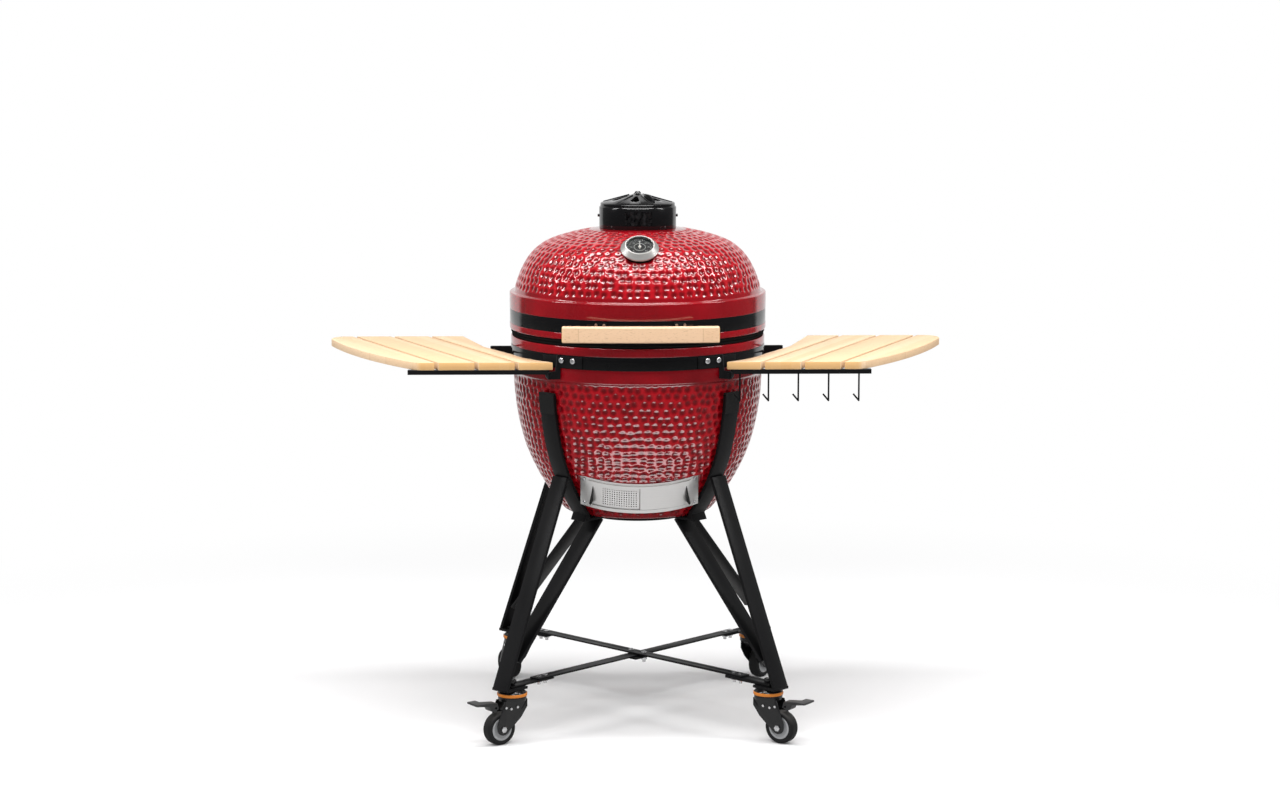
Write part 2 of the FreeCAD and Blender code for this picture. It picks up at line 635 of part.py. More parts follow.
barrel = cylinder("HingeBarrel", barrelRadius, 84.0, (-42.0, c.hingeY, c.hingeZ, turnY(90)))
strapOutline = [(c.hingeY - 9, c.hingeZ - 3), (c.hingeY + 9, c.hingeZ + 4), (c.hingeY - 4, c.lidBandZ + 8),
                (312.0, c.lidBandZ + 30), (296.0, c.lidBandZ + 30), (296.0, c.lidBandZ + 3),
                (316.0, c.lidBandZ + 3)]
strapWeb = padded("HingeStrap", "YZ_Plane", strapOutline, 84.0)
springArms = []
for side in (-1, 1):
    name = "Left" if side < 0 else "Right"
    springArms.append(box(f"SpringArm{name}", 8.0, 26.0, 8.0, (side * 34.0 - 4, c.hingeY, c.hingeZ - 4)))
hingeLidRaw = fuse("HingeLidRaw", [barrel, strapWeb] + springArms)
bandRoomHigh = cylinder("BandRoomHigh", lidBandOuter + c.fitGap, 100.0, (0, 0, c.lidBandZ - 20))
pinBoreHigh = cylinder("PinBoreHigh", c.hingePinRadius + c.runGap, 200.0,
                     (-100.0, c.hingeY, c.hingeZ, turnY(90)))
subPart(cut("HingeLid", hingeLidRaw, [bandRoomHigh, pinBoreHigh]), "hinge_lid_bracket")
pinShaft = cylinder("HingePinShaft", c.hingePinRadius, pinLength,
                    (-c.hingeHalf, c.hingeY, c.hingeZ, turnY(90)))
pinCap = cylinder("HingePinCap", c.hingePinRadius + 4, 4.0, (c.hingeHalf, c.hingeY, c.hingeZ, turnY(90)))
subPart(fuse("HingePin", [pinShaft, pinCap]), "hinge_pin")

# ---------------------------------------------------------------- draft door

plateFull = doorSector("PlateFull", c.doorPlateRadius - 1.5, c.doorPlateRadius,
                       c.doorFrameTall, c.doorFrameAngle)
plateWindow = doorSector("PlateWindow", c.doorPlateRadius - 5, c.doorPlateRadius + 5,
                         54.0, 2 * c.doorAngle - 2)
framePlate = cut("FramePlate", plateFull, [plateWindow])
rails = []
railAngle = 2 * c.doorAngle + 4
for side in (-1, 1):
    name = "Low" if side < 0 else "High"
    rails.append(doorSector(f"Rail{name}", c.doorPlateRadius - 0.5, c.doorPlateRadius + 4.6, 2.0, railAngle,
                            side * (c.doorTall / 2 + 1.6)))
    rails.append(doorSector(f"Lip{name}", c.doorPlateRadius + 3.6, c.doorPlateRadius + 4.6, 5.0, railAngle,
                            side * (c.doorTall / 2 + 0.1)))
subPart(fuse("DoorFrame", [framePlate] + rails), "door_frame")

screws = []
for across in (-37.0, 37.0):
    for lift in (-31.0, 31.0):
        local = turnZ(across).multVec(Vector(0, -driving["doorPlateRadius"], 0)) + Vector(0, 0, lift)
        spin = turnX(driving["doorLean"])
        spot = spin.multVec(local) + Vector(0, doorAxisY.value, doorAxisZ.value)
        screws.append(cone(f"DoorScrew{len(screws)}", 4.5, 3.0, 2.4,
                           (spot.x, spot.y, spot.z, spin * turnZ(across) * turnX(90))))
doorScrews = group("DoorScrews", screws)


def doorTab(name, radius, azimuth):
    """A finger tab bent outwards at the end of a door."""
    tab = padded(name + "Blade", "YZ_Plane",
                 [(-asSize(radius) + 0.6, -20.0), (-asSize(radius) - 12, -24.0), (-asSize(radius) - 17, -19.0),
                  (-asSize(radius) + 0.6, 20.0)], 1.4, (0, 0, 0, turnZ(azimuth)))
    return group(name, [tab], doorPlace)


solidRadius = c.doorPlateRadius + 2.5
solidSheet = doorSector("SolidSheet", solidRadius, solidRadius + 0.9, c.doorTall, c.doorAngle,
                        0.0, driving["doorAngle"] / 2 + 0.2)
solidTab = doorTab("SolidTab", solidRadius + 0.9, driving["doorAngle"] - 1.2)
subPart(fuse("SolidDoor", [solidSheet, solidTab]), "solid_door")

meshRadius = c.doorPlateRadius + 0.4
meshSheet = doorSector("MeshSheet", meshRadius, meshRadius + 1.0, c.doorTall, c.doorAngle,
                       0.0, -driving["doorAngle"] / 2 - 0.2)
holes = []
holeColumns, holeRows, holeStep = 15, 8, 5.6
for column in range(holeColumns):
    azimuth = -2.2 - column * math.degrees(holeStep / driving["doorPlateRadius"])
    for rank in range(holeRows):
        holes.append(cylinder(f"MeshHole{column * holeRows + rank}", 1.3, 10.0,
                              (0, 0, (rank - (holeRows - 1) / 2) * holeStep, turnZ(azimuth) * turnX(90))))
        reach = turnZ(azimuth).multVec(Vector(0, -driving["doorPlateRadius"] + 4, 0))
        holes[-1].Placement.Base = Vector(reach.x, reach.y, holes[-1].Placement.Base.z)
holeField = group("HoleField", [group("HoleRows", holes)], doorPlace)
meshPlate = cut("MeshPlate", meshSheet, [holeField])
meshTab = doorTab("MeshTab", meshRadius + 1.0, 1.2 - driving["doorAngle"])
subPart(fuse("MeshDoor", [meshPlate, meshTab]), "mesh_door")

# ---------------------------------------------------------------- shelves

bottomZ = c.boardTopZ - c.boardThick
rearInnerX = 424.0
shelfOutline = [
    (200.0, c.shelfFrontY),
    (498.0, c.shelfFrontY),
    (528.0, c.shelfFrontY + 17, 34.0, 1),
    (c.shelfTipX - 1, 188.0, 1306.0, 1),
    (c.shelfTipX - 22, c.shelfRearY, 46.0, 1),
    (rearInnerX, c.shelfRearY),
    (366.0, 40.0),
    (297.0, -95.0),
    (206.0, -236.0, 318.0, -1),
]
rightOutline = padded("RightBoardsWhole", "XY_Plane", shelfOutline, c.boardThick,
                      (0, 0, bottomZ), midplane=False)
gapCuts = []
slantTurn = turnZ(-driving["shelfSlant"])
for number, frontX in enumerate((283.0, 375.0, 467.0)):
    gapCuts.append(box(f"BoardGap{number}", c.boardGap, 800.0, 60.0,
                       (frontX - 50, c.shelfFrontY - 100, bottomZ - 20, slantTurn)))
rightBoards = cut("RightBoards", rightOutline, gapCuts)
subPart(rightBoards, "right_shelf_boards")
subPart(mirrored("LeftBoards", rightBoards), "left_shelf_boards")

# The shelf folds about a slanted line: it starts at (foldX, shelfFrontY) and runs along the boards.
slant = math.radians(driving["shelfSlant"])
along = Vector(math.sin(slant), math.cos(slant), 0)
foldStart = Vector(driving["foldX"], driving["shelfFrontY"], driving["foldZ"])
rearReach = (driving["rearArmY"] - driving["shelfFrontY"]) / math.cos(slant)
pinTurn = Rotation(Vector(0, 0, 1), along)
barZ = bottomZ - c.barTall - 0.6


def foldPoint(reach):
    return foldStart + along * reach


armPieces = []
bossPieces = []
for name, reach, tipX in (("Front", 0.0, 534.0), ("Rear", rearReach, 640.0)):
    spot = foldPoint(reach)
    bar = box(f"ShelfBar{name}", tipX - spot.x - 4, 18.0, c.barTall, (spot.x + 4, spot.y + 2, barZ))
    eye = cylinder(f"ShelfEye{name}", 9.0, 10.0, (0, 0, 0))
    eyeAt = foldPoint(reach + 1)
    put(eye, (eyeAt.x, eyeAt.y, eyeAt.z, pinTurn))
    bore = cylinder(f"ShelfBore{name}", c.foldPinRadius + c.runGap, 60.0)
    boreAt = foldPoint(reach - 20)
    put(bore, (boreAt.x, boreAt.y, boreAt.z, pinTurn))
    whole = fuse(f"ShelfArmRaw{name}", [bar, eye])
    armPieces.append(cut(f"ShelfArm{name}", whole, [bore]))
rightArms = group("RightArms", armPieces)
subPart(rightArms, "right_shelf_arms")
subPart(mirrored("LeftArms", rightArms), "left_shelf_arms")


hookXs = (231.0, 297.0, 366.0, 436.0, 506.0)
hookY = driving["shelfFrontY"] + 11
hookTopZ, hookLowZ, wireRadius = barZ - 0.2, 789.0, 2.0
hooks = []
for number, x in enumerate(hookXs):
    stem = cylinder(f"HookStem{number}", wireRadius, hookTopZ - hookLowZ, (x, hookY, hookLowZ))
    bend = doc.addObject("Part::Sphere", f"HookBend{number}")
    bend.Radius = wireRadius
    put(bend, (x, hookY, hookLowZ))
    tip = cylinder(f"HookTip{number}", wireRadius, 20.0, (x, hookY, hookLowZ, turnY(-40.0)))
    hooks.append(fuse(f"Hook{number}", [stem, bend, tip]))
subPart(group("ToolHooks", hooks), "tool_hooks")

# Fixed brackets on the bowl's band, and the pins that the shelves fold on.
bandWrap = baseBandOuter + c.fitGap
brackets = []
pins = []
bandBolts = []
for name, reach in (("Front", 0.0), ("Rear", rearReach)):
    spot = foldPoint(reach)
    ear = padded(f"BracketEar{name}", "XZ_Plane",
                 [(-45.0, 842.0), (9.0, 842.0), (9.0, 858.0), (-10.0, 861.0), (-14.0, 898.0), (-45.0, 898.0)],
                 5.5, None)
    earAt = foldPoint(reach - 4.3)
    put(ear, (earAt.x, earAt.y, 0, turnZ(-driving["shelfSlant"])))
    if name == "Front":
        plateTurn, plateSpan, web = 36.5, 21.0, []
    else:
        plateTurn, plateSpan = 109.0, 16.0
        web = [box("BracketWebRear", spot.x - 277, 6.0, 32.0, (264.0, spot.y + 1, 842.0))]
        ear = common("BracketEarRearShort", [ear, box("EarRearRoom", 36.0, 40.0, 54.0,
                                                      (spot.x - 22, spot.y - 16, 820.0))])
    plate = ringPiece(f"BracketPlate{name}", bandWrap, bandWrap + 3, c.baseBandTall - 5,
                      (0, 0, c.baseBandZ + 2, turnZ(plateTurn)),
                      plateSpan)
    raw = fuse(f"BracketRaw{name}", [ear, plate] + web)
    bandRoomHere = cylinder(f"BracketRoom{name}", bandWrap, 120.0, (0, 0, 810.0))
    bore = cylinder(f"BracketBore{name}", c.foldPinRadius + c.runGap, 40.0)
    boreAt = foldPoint(reach - 20)
    put(bore, (boreAt.x, boreAt.y, boreAt.z, pinTurn))
    brackets.append(cut(f"Bracket{name}", raw, [bandRoomHere, bore]))
    pin = cylinder(f"FoldPin{name}", c.foldPinRadius, 20.0)
    pinAt = foldPoint(reach - 8.5)
    put(pin, (pinAt.x, pinAt.y, pinAt.z, pinTurn))
    pinTop = cylinder(f"FoldPinHead{name}", 6.0, 3.0)
    topAt = foldPoint(reach - 10.5)
    put(pinTop, (topAt.x, topAt.y, topAt.z, pinTurn))
    pins.append(fuse(f"FoldPinWhole{name}", [pin, pinTop]))
    azimuths = (30.2, 36.0) if name == "Front" else (104.5, 113.5)
    for azimuth in azimuths:
        spot = turnZ(azimuth).multVec(Vector(0, -(bandWrap.value + 3), 886.0))
        bandBolts.append(hexagon(f"BandBolt{len(bandBolts)}", 5.5, 4.0,
                                 (spot.x, spot.y, 886.0, turnZ(azimuth) * turnX(90))))
rightBrackets = group("RightBrackets", brackets)
leftBrackets = mirrored("LeftBrackets", rightBrackets)
subPart(group("ShelfBrackets", [rightBrackets, leftBrackets]), "shelf_brackets")
rightPins = group("RightPins", pins)
leftPins = mirrored("LeftPins", rightPins)
rightBandBolts = group("RightBandBolts", bandBolts)
leftBandBolts = mirrored("LeftBandBolts", rightBandBolts)

# ---------------------------------------------------------------- cart

legAngles = {"front_left": -135.0, "front_right": -45.0, "rear_right": 45.0, "rear_left": 135.0}
gap, thick = c.padGap, c.legThick
armOutline = [
    (c.bowlRadius + 1.6, c.armTopZ),
    (c.waistRadius + 2.4, c.waistZ - 0.8, c.upperArc + gap, -1),
    (c.footRadius + 11.6, c.footZ + 10, c.lowerArc + gap, -1),
    (c.footRadius + 19.6, c.footZ + 6),
    (c.waistRadius + 2.4 + thick * 0.953, c.waistZ - 0.8 - thick * 0.304, c.lowerArc + gap + thick, 1),
    (c.bowlRadius + 1.6 + thick, c.armTopZ, c.upperArc + gap + thick, 1),
]
cradleZ = c.footZ - 10
tongueOutline = [(75.0, cradleZ), (204.0, cradleZ), (c.footRadius + 19.6, c.footZ + 6),
                 (c.footRadius + 11.6, c.footZ + 10), (184.0, c.footZ - 2), (75.0, c.footZ - 2)]
legPieces = [
    padded("ArmStrip", "XZ_Plane", armOutline, c.legWidth),
    padded("TongueStrip", "XZ_Plane", tongueOutline, c.legWidth),
    padded("LegStrip", "XZ_Plane", strip((c.kneeR, c.kneeZ), (c.ankleR, c.ankleZ), thick), c.legWidth),
    padded("StrutStrip", "XZ_Plane", strip((c.strutTopR, c.strutTopZ), (c.strutFootR, c.strutFootZ), thick),
           c.legWidth),
    box("FootPlate", 66.0, c.legWidth + 4, c.plateThick,
        (394.0, -c.legWidth / 2 - 2, c.ankleZ - c.plateThick)),
]
legRaw = fuse("LegRaw", legPieces)
casterReach = c.casterX * math.sqrt(2.0)
stemBoreFoot = cylinder("StemBoreFoot", 6.2, 40.0, (casterReach, 0, 110.0))
cradleBore = cylinder("CradleBore", 4.2, 40.0, (90.0, 0, cradleZ - 15))
legFrame = cut("LegFrame", legRaw, [stemBoreFoot, cradleBore])
for name, angle in legAngles.items():
    subPart(copyOf(f"Leg_{name}", legFrame, (0, 0, 0, turnZ(angle))), f"leg_frame_{name}")

cradleHoles = []
cradleBolts = []
padPieces = []
for name, angle in legAngles.items():
    spot = turnZ(angle).multVec(Vector(90, 0, 0))
    cradleHoles.append(cylinder(f"CradleHole_{name}", 4.2, 30.0, (spot.x, spot.y, cradleZ - 15)))
    shank = cylinder(f"CradleShank_{name}", 4.0, 19.0, (spot.x, spot.y, cradleZ - 11.5))
    nut = hexagon(f"CradleNut_{name}", 8.0, 5.0, (spot.x, spot.y, cradleZ - 10))
    cradleBolts.append(fuse(f"CradleBolt_{name}", [shank, nut]))
    pad = box(f"Pad_{name}", 30.0, 40.0, 1.8, (130.0, -20.0, c.footZ - 1.9))
    padPieces.append(copyOf(f"PadAt_{name}", pad, (0, 0, 0, turnZ(angle))))
cradleDisc = cylinder("CradleDisc", 125.0, 4.8, (0, 0, cradleZ - 4.9))
subPart(cut("CradlePlate", cradleDisc, cradleHoles), "cradle_plate")
subPart(group("CradlePads", padPieces), "cradle_pads")

barLevel = c.ankleZ + c.barThick
straps = []
braceBolts = []
for name, angle in legAngles.items():
    longWay = name in ("front_right", "rear_left")
    strapTall = c.barThick * 2 if longWay else c.barThick
    strapRaw = box(f"StrapRaw_{name}", 138.0, c.barWidth + 4, strapTall,
                   (300.0, -c.barWidth / 2 - 2, c.ankleZ))
    bores = [cylinder(f"StrapBore{name}{r}", 4.2 if r < 400 else 6.2, 60.0, (float(r), 0, 110.0))
             for r in (314, 334)] + [cylinder(f"StrapStemBore{name}", 6.2, 60.0, (casterReach, 0, 110.0))]
    strap = cut(f"Strap_{name}", strapRaw, bores)
    straps.append(copyOf(f"StrapAt_{name}", strap, (0, 0, 0, turnZ(angle))))
    topZ = c.ankleZ + strapTall + c.barThick
    for r in (314.0, 334.0):
        screw = cylinder(f"BraceShank{name}{int(r)}", 4.0, strapTall + c.barThick + 12,
                         (r, 0, c.ankleZ - 11))
        cap = cylinder(f"BraceCap{name}{int(r)}", 7.0, 2.4, (r, 0, topZ))
        nut = hexagon(f"BraceNut{name}{int(r)}", 7.5, 5.0, (r, 0, c.ankleZ - 5.1))
        whole = fuse(f"BraceBolt{name}{int(r)}", [screw, cap, nut])
        braceBolts.append(copyOf(f"BraceBoltAt{name}{int(r)}", whole, (0, 0, 0, turnZ(angle))))


def braceBar(name, start, end, level, angle, boreReaches):
    """A flat bar along one diagonal, from one reach to another, drilled for its bolts."""
    raw = box(name + "Raw", end - start, c.barWidth, c.barThick, (start, -c.barWidth / 2, level))
    bores = [cylinder(f"{name}Bore{number}", 4.2, 60.0, (reach, 0, 110.0))
             for number, reach in enumerate(boreReaches)]
    return copyOf(name, cut(name + "Drilled", raw, bores), (0, 0, 0, turnZ(angle)))


centreReach = 21.0
topBar = braceBar("LongBar", -348.0, 348.0, c.ankleZ + c.barThick * 2, -45.0,
                  (-334.0, -314.0, -centreReach, centreReach, 314.0, 334.0))
halfFront = braceBar("HalfBarFront", 2.0, 348.0, barLevel, -135.0, (314.0, 334.0))
halfRear = braceBar("HalfBarRear", 2.0, 348.0, barLevel, 45.0, (314.0, 334.0))
centreBores = [cylinder(f"CentreBore{side}", 4.2, 60.0, (side * centreReach / math.sqrt(2.0),
                                                        -side * centreReach / math.sqrt(2.0), 110.0))
               for side in (-1, 1)]
# The two half bars meet under the long bar, where a centre plate joins them.
centrePlate = box("CentrePlateRaw", 70.0, c.barWidth + 24, c.barThick,
                  (-35.0, -c.barWidth / 2 - 12, c.ankleZ))
centreTurned = copyOf("CentrePlateAt", centrePlate, (0, 0, 0, turnZ(45.0)))
centreDrilled = cut("CentreDrilled", centreTurned, centreBores)
subPart(group("CrossBrace", [topBar, halfFront, halfRear]), "cross_brace")
subPart(group("BraceStraps", straps + [centreDrilled]), "brace_straps")
for side in (-1, 1):
    reach = side * centreReach / math.sqrt(2.0)
    shank = cylinder(f"CentreShank{side + 1}", 4.0, 26.0, (reach, -reach, 121.0))
    cap = cylinder(f"CentreCap{side + 1}", 7.0, 2.4, (reach, -reach, c.ankleZ + c.barThick * 3))
    nut = hexagon(f"CentreNut{side + 1}", 7.5, 5.0, (reach, -reach, 126.9))
    braceBolts.append(fuse(f"CentreBolt{side + 1}", [shank, cap, nut]))
fasteners = braceBolts + cradleBolts + [doorScrews, rightPins, leftPins, rightBandBolts, leftBandBolts]
subPart(group("FrameBolts", fasteners), "frame_bolts")

# ---------------------------------------------------------------- casters

wheelZ = c.wheelRadius
tyreInner = c.wheelRadius - 11
half = c.wheelWidth / 2


def casterFork(name):
    """Two cheeks under a round crown, with the axle bolt and rivets as solids of their own."""
    crown = cylinder(name + "Crown", 33.0, 10.0, (0, 0, 100.7))
    cheekOutline = [(-30.0, 102.0), (-30.0, 84.0), (-12.0, 60.0), (24.0, 30.0), (50.0, 30.0, 17.0, 1),
                    (52.0, 52.0, 30.0, 1), (33.0, 102.0)]
    cheeks = [padded(f"{name}Cheek{number}", "XZ_Plane", cheekOutline, 2.5, (0, y, 0))
              for number, y in enumerate((-17.0, 17.0))]
    shell = fuse(name + "Shell", [crown] + cheeks)
    axleRoom = cylinder(name + "AxleRoom", c.axleRadius + c.runGap, 60.0,
                        (c.trail, 30.0, wheelZ, turnX(90)))
    stemRoom = cylinder(name + "StemRoom", 6.0 + c.runGap, 40.0, (0, 0, 90.0))
    shellOpen = cut(name + "ShellOpen", shell, [axleRoom, stemRoom])
    axle = cylinder(name + "Axle", c.axleRadius, 44.0, (c.trail, 22.0, wheelZ, turnX(90)))
    headNear = hexagon(name + "AxleHead", 7.5, 3.5, (c.trail, -18.3, wheelZ, turnX(90)))
    headFar = hexagon(name + "AxleNut", 7.5, 3.5, (c.trail, 21.8, wheelZ, turnX(90)))
    axleWhole = fuse(name + "AxleWhole", [axle, headNear, headFar])
    rivets = []
    for number, (x, z) in enumerate(((-2.0, 86.0), (16.0, 84.0), (30.0, 88.0))):
        for y in (-18.3, 20.3):
            rivets.append(cylinder(f"{name}Rivet{number}{'a' if y < 0 else 'b'}", 3.0, 2.0,
                                   (x, y, z, turnX(90))))
    return group(name, [shellOpen, axleWhole] + rivets)


tyreOutline = [
    (tyreInner, -half + 1), (c.wheelRadius - 5, -half), (c.wheelRadius, -half + 6, 7.0, 1),
    (c.wheelRadius, half - 6), (c.wheelRadius - 5, half, 7.0, 1), (tyreInner, half - 1),
]
hubOutline = [
    (c.axleRadius + c.runGap, -half + 0.5), (11.0, -half + 0.5), (12.0, -half + 4), (21.0, -half + 4),
    (22.0, -half + 1.5), (tyreInner - 0.1, -half + 1.5), (tyreInner - 0.1, half - 1.5), (22.0, half - 1.5),
    (21.0, half - 4), (12.0, half - 4), (11.0, half - 0.5), (c.axleRadius + c.runGap, half - 0.5),
]
pedalOutline = [(50.0, 101.0), (108.0, 107.0), (112.0, 104.0), (108.0, 101.0), (72.0, 96.0), (66.0, 84.0),
                (56.0, 81.0), (46.0, 88.0)]
forkShape = casterFork("ForkShape")
tyreShape = revolved("TyreShape", tyreOutline)
hubShape = revolved("HubShape", hubOutline)
pedalArm = padded("PedalArm", "XZ_Plane", pedalOutline, 26.0)
pedalPad = box("PedalPad", 22.0, 44.0, 4.0, (89.0, -22.0, 103.0))
pedalPinRoom = cylinder("PedalPinRoom", 3.05, 60.0, (54.0, 30.0, 90.0, turnX(90)))
pedalShape = cut("PedalShape", fuse("PedalRaw", [pedalArm, pedalPad]), [pedalPinRoom])

plates = []
seals = []
for name, angle in legAngles.items():
    x = c.casterX * (1 if "right" in name else -1)
    y = c.casterX * (-1 if "front" in name else 1)
    outward = driving["frontTrailYaw"] if "front" in name else driving["rearTrailYaw"]
    yaw = outward if "left" in name else 180.0 - outward
    stem = cylinder(f"CasterStem_{name}", 6.0, 44.0, (x, y, 101.0))
    dome = cone(f"CasterDome_{name}", 34.0, 26.0, 7.0, (x, y, 118.5))
    nut = hexagon(f"CasterNut_{name}", 10.0, 9.0, (x, y, c.ankleZ + c.barThick * 2 + 0.1))
    plates.append(fuse(f"CasterTop_{name}", [stem, dome, nut]))
    seals.append(ringPiece(f"Seal_{name}", 6.3, 35.0, 7.0, (x, y, 111.2)))
    subPart(copyOf(f"Fork_{name}", forkShape, (x, y, 0, turnZ(yaw))), f"caster_fork_{name}")
    axleSpot = turnZ(yaw).multVec(Vector(driving["trail"], 0, 0))
    wheelAt = (x + axleSpot.x, y + axleSpot.y, wheelZ, turnZ(yaw) * turnX(90))
    subPart(copyOf(f"Tyre_{name}", tyreShape, wheelAt), f"caster_tyre_{name}")
    subPart(copyOf(f"Hub_{name}", hubShape, wheelAt), f"caster_hub_{name}")
    if "front" in name:
        subPart(copyOf(f"Pedal_{name}", pedalShape, (x, y, 0, turnZ(yaw))), f"brake_pedal_{name}")
subPart(group("CasterTops", plates), "caster_tops")
subPart(group("CasterSeals", seals), "caster_seals")

# ---------------------------------------------------------------- springs

springs = []
for side in (-1, 1):
    springs.append(ringPiece(f"Spring{side + 1}", 6.0, 9.0, 84.0,
                             (side * 34.0, c.hingeY + 18, c.hingeZ - 92)))
subPart(group("HingeSprings", springs), "hinge_springs")

# ---------------------------------------------------------------- check and write

doc.recompute()
failed = [item.Name for item in doc.Objects if "Invalid" in item.State or "Error" in item.State]
if failed:
    raise SystemExit(f"failed objects: {failed}")
os.makedirs("parts", exist_ok=True)
for item in subParts:
    if item.Shape.isNull() or not item.Shape.isValid():
        raise SystemExit(f"bad shape: {item.Label}")
for item in subParts:
    item.Shape.exportStep(f"parts/{item.Label}.step")
    print(item.Label, len(item.Shape.Solids), round(item.Shape.Volume / 1000.0, 1), "cm3")
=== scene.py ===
import bpy
import json
import math
import numpy as np
from mathutils import Matrix, Vector

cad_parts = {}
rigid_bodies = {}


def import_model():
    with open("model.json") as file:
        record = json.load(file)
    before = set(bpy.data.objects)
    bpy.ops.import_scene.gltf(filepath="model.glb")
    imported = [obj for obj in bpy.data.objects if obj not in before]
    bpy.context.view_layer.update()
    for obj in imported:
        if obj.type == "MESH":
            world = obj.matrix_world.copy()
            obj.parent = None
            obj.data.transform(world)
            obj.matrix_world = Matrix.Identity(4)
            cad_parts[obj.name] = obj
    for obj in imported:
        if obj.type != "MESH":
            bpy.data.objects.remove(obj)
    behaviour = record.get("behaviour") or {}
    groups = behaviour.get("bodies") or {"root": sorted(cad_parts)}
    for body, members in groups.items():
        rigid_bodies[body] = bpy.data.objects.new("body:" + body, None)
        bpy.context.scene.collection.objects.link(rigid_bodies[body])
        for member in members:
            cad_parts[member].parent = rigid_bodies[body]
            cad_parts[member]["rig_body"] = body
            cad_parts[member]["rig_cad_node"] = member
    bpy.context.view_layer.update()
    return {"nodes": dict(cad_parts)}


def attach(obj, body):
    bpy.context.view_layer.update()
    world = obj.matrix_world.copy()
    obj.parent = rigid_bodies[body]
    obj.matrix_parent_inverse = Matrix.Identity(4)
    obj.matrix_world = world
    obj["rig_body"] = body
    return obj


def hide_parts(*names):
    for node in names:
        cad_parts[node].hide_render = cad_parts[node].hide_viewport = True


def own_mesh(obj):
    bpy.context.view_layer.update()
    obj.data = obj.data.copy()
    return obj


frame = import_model()
print("frame loaded")

mm = 0.001
weld = 0.00001  # metres within which two vertices are one
nodes = frame["nodes"]


# tools of the bench: selecting, drawing, spinning

def around(degrees):
    return Matrix.Rotation(math.radians(degrees), 3, "Z")


def metres(spot):
    return [part * mm for part in spot]


def deselectAll():
    if bpy.context.object and bpy.context.object.mode != "OBJECT":
        bpy.ops.object.mode_set(mode="OBJECT")
    bpy.ops.object.select_all(action="DESELECT")


def pick(piece):
    deselectAll()
    piece.select_set(True)
    bpy.context.view_layer.objects.active = piece


def editWhole(piece):
    pick(piece)
    bpy.ops.object.mode_set(mode="EDIT")
    bpy.ops.mesh.select_mode(type="VERT")
    bpy.ops.mesh.select_all(action="SELECT")


def leaveEdit():
    bpy.ops.object.mode_set(mode="OBJECT")


def applied(piece, kind, **settings):
    pick(piece)
    modifier = piece.modifiers.new(kind.lower(), kind)
    for key, value in settings.items():
        setattr(modifier, key, value)
    bpy.ops.object.modifier_apply(modifier=modifier.name)


def settle(piece):  # place, turn and size go into the mesh, and the origin to the floor's centre
    pick(piece)
    bpy.ops.object.transform_apply(location=True, rotation=True, scale=True)


def smooth(piece, angle=38):
    pick(piece)
    bpy.ops.object.shade_smooth_by_angle(angle=math.radians(angle))


def arcTo(start, end, radius, side, count):
    a, b = Vector(start), Vector(end)
    chord = b - a
    left = Vector((-chord.y, chord.x)).normalized()
    centre = (a + b) / 2 + left * side * math.sqrt(radius ** 2 - (chord.length / 2) ** 2)
    first, last = a - centre, b - centre
    sweep = first.angle_signed(last)
    points = []
    for step in range(1, count + 1):
        turn = Matrix.Rotation(-sweep * step / count, 2)
        points.append(tuple(centre + turn @ first))
    return points


def drawProfile(name, points):  # a line of edges, radius and height in mm, one extrude after another
    deselectAll()
    bpy.ops.mesh.primitive_plane_add(size=0.001, location=(0, 0, 0))
    piece = bpy.context.object
    piece.name = name
    bpy.ops.object.mode_set(mode="EDIT")
    bpy.ops.mesh.merge(type="CENTER")
    spots = [Vector((radius * mm, 0, height * mm)) for radius, height in points]
    bpy.ops.transform.translate(value=spots[0])
    for here, there in zip(spots, spots[1:]):
        bpy.ops.mesh.extrude_region_move(TRANSFORM_OT_translate={"value": there - here})
    leaveEdit()
    return piece


def spinRound(piece, steps):
    applied(piece, "SCREW", steps=steps, render_steps=steps, use_merge_vertices=True, merge_threshold=weld)
    editWhole(piece)
    bpy.ops.mesh.remove_doubles(threshold=weld)
    bpy.ops.mesh.normals_make_consistent(inside=False)
    leaveEdit()
    return piece


def closeEnds(piece, fill, **settings):  # welds what meets, and fills the open ends
    editWhole(piece)
    bpy.ops.mesh.remove_doubles(threshold=weld)
    bpy.ops.mesh.select_all(action="DESELECT")
    bpy.ops.mesh.select_non_manifold()
    fill(**settings)
    bpy.ops.mesh.select_all(action="SELECT")
    bpy.ops.mesh.normals_make_consistent(inside=False)
    leaveEdit()


def partTurn(name, outline, degrees, steps):  # an outline swept part of the way round, its middle at -Y
    piece = drawProfile(name, outline + outline[:1])
    applied(piece, "SCREW", steps=steps, render_steps=steps, angle=math.radians(degrees))
    closeEnds(piece, bpy.ops.mesh.edge_face_add)
    piece.rotation_euler.z = math.radians(-90 - degrees / 2)
    settle(piece)
    return piece


def sector(name, inner, outer, low, high, degrees, steps):  # a block of a ring
    return partTurn(name, [(inner, low), (outer, low), (outer, high), (inner, high)], degrees, steps)


def cutAway(piece, cutter):
    applied(piece, "BOOLEAN", operation="DIFFERENCE", object=cutter, solver="EXACT")
    bpy.data.objects.remove(cutter)


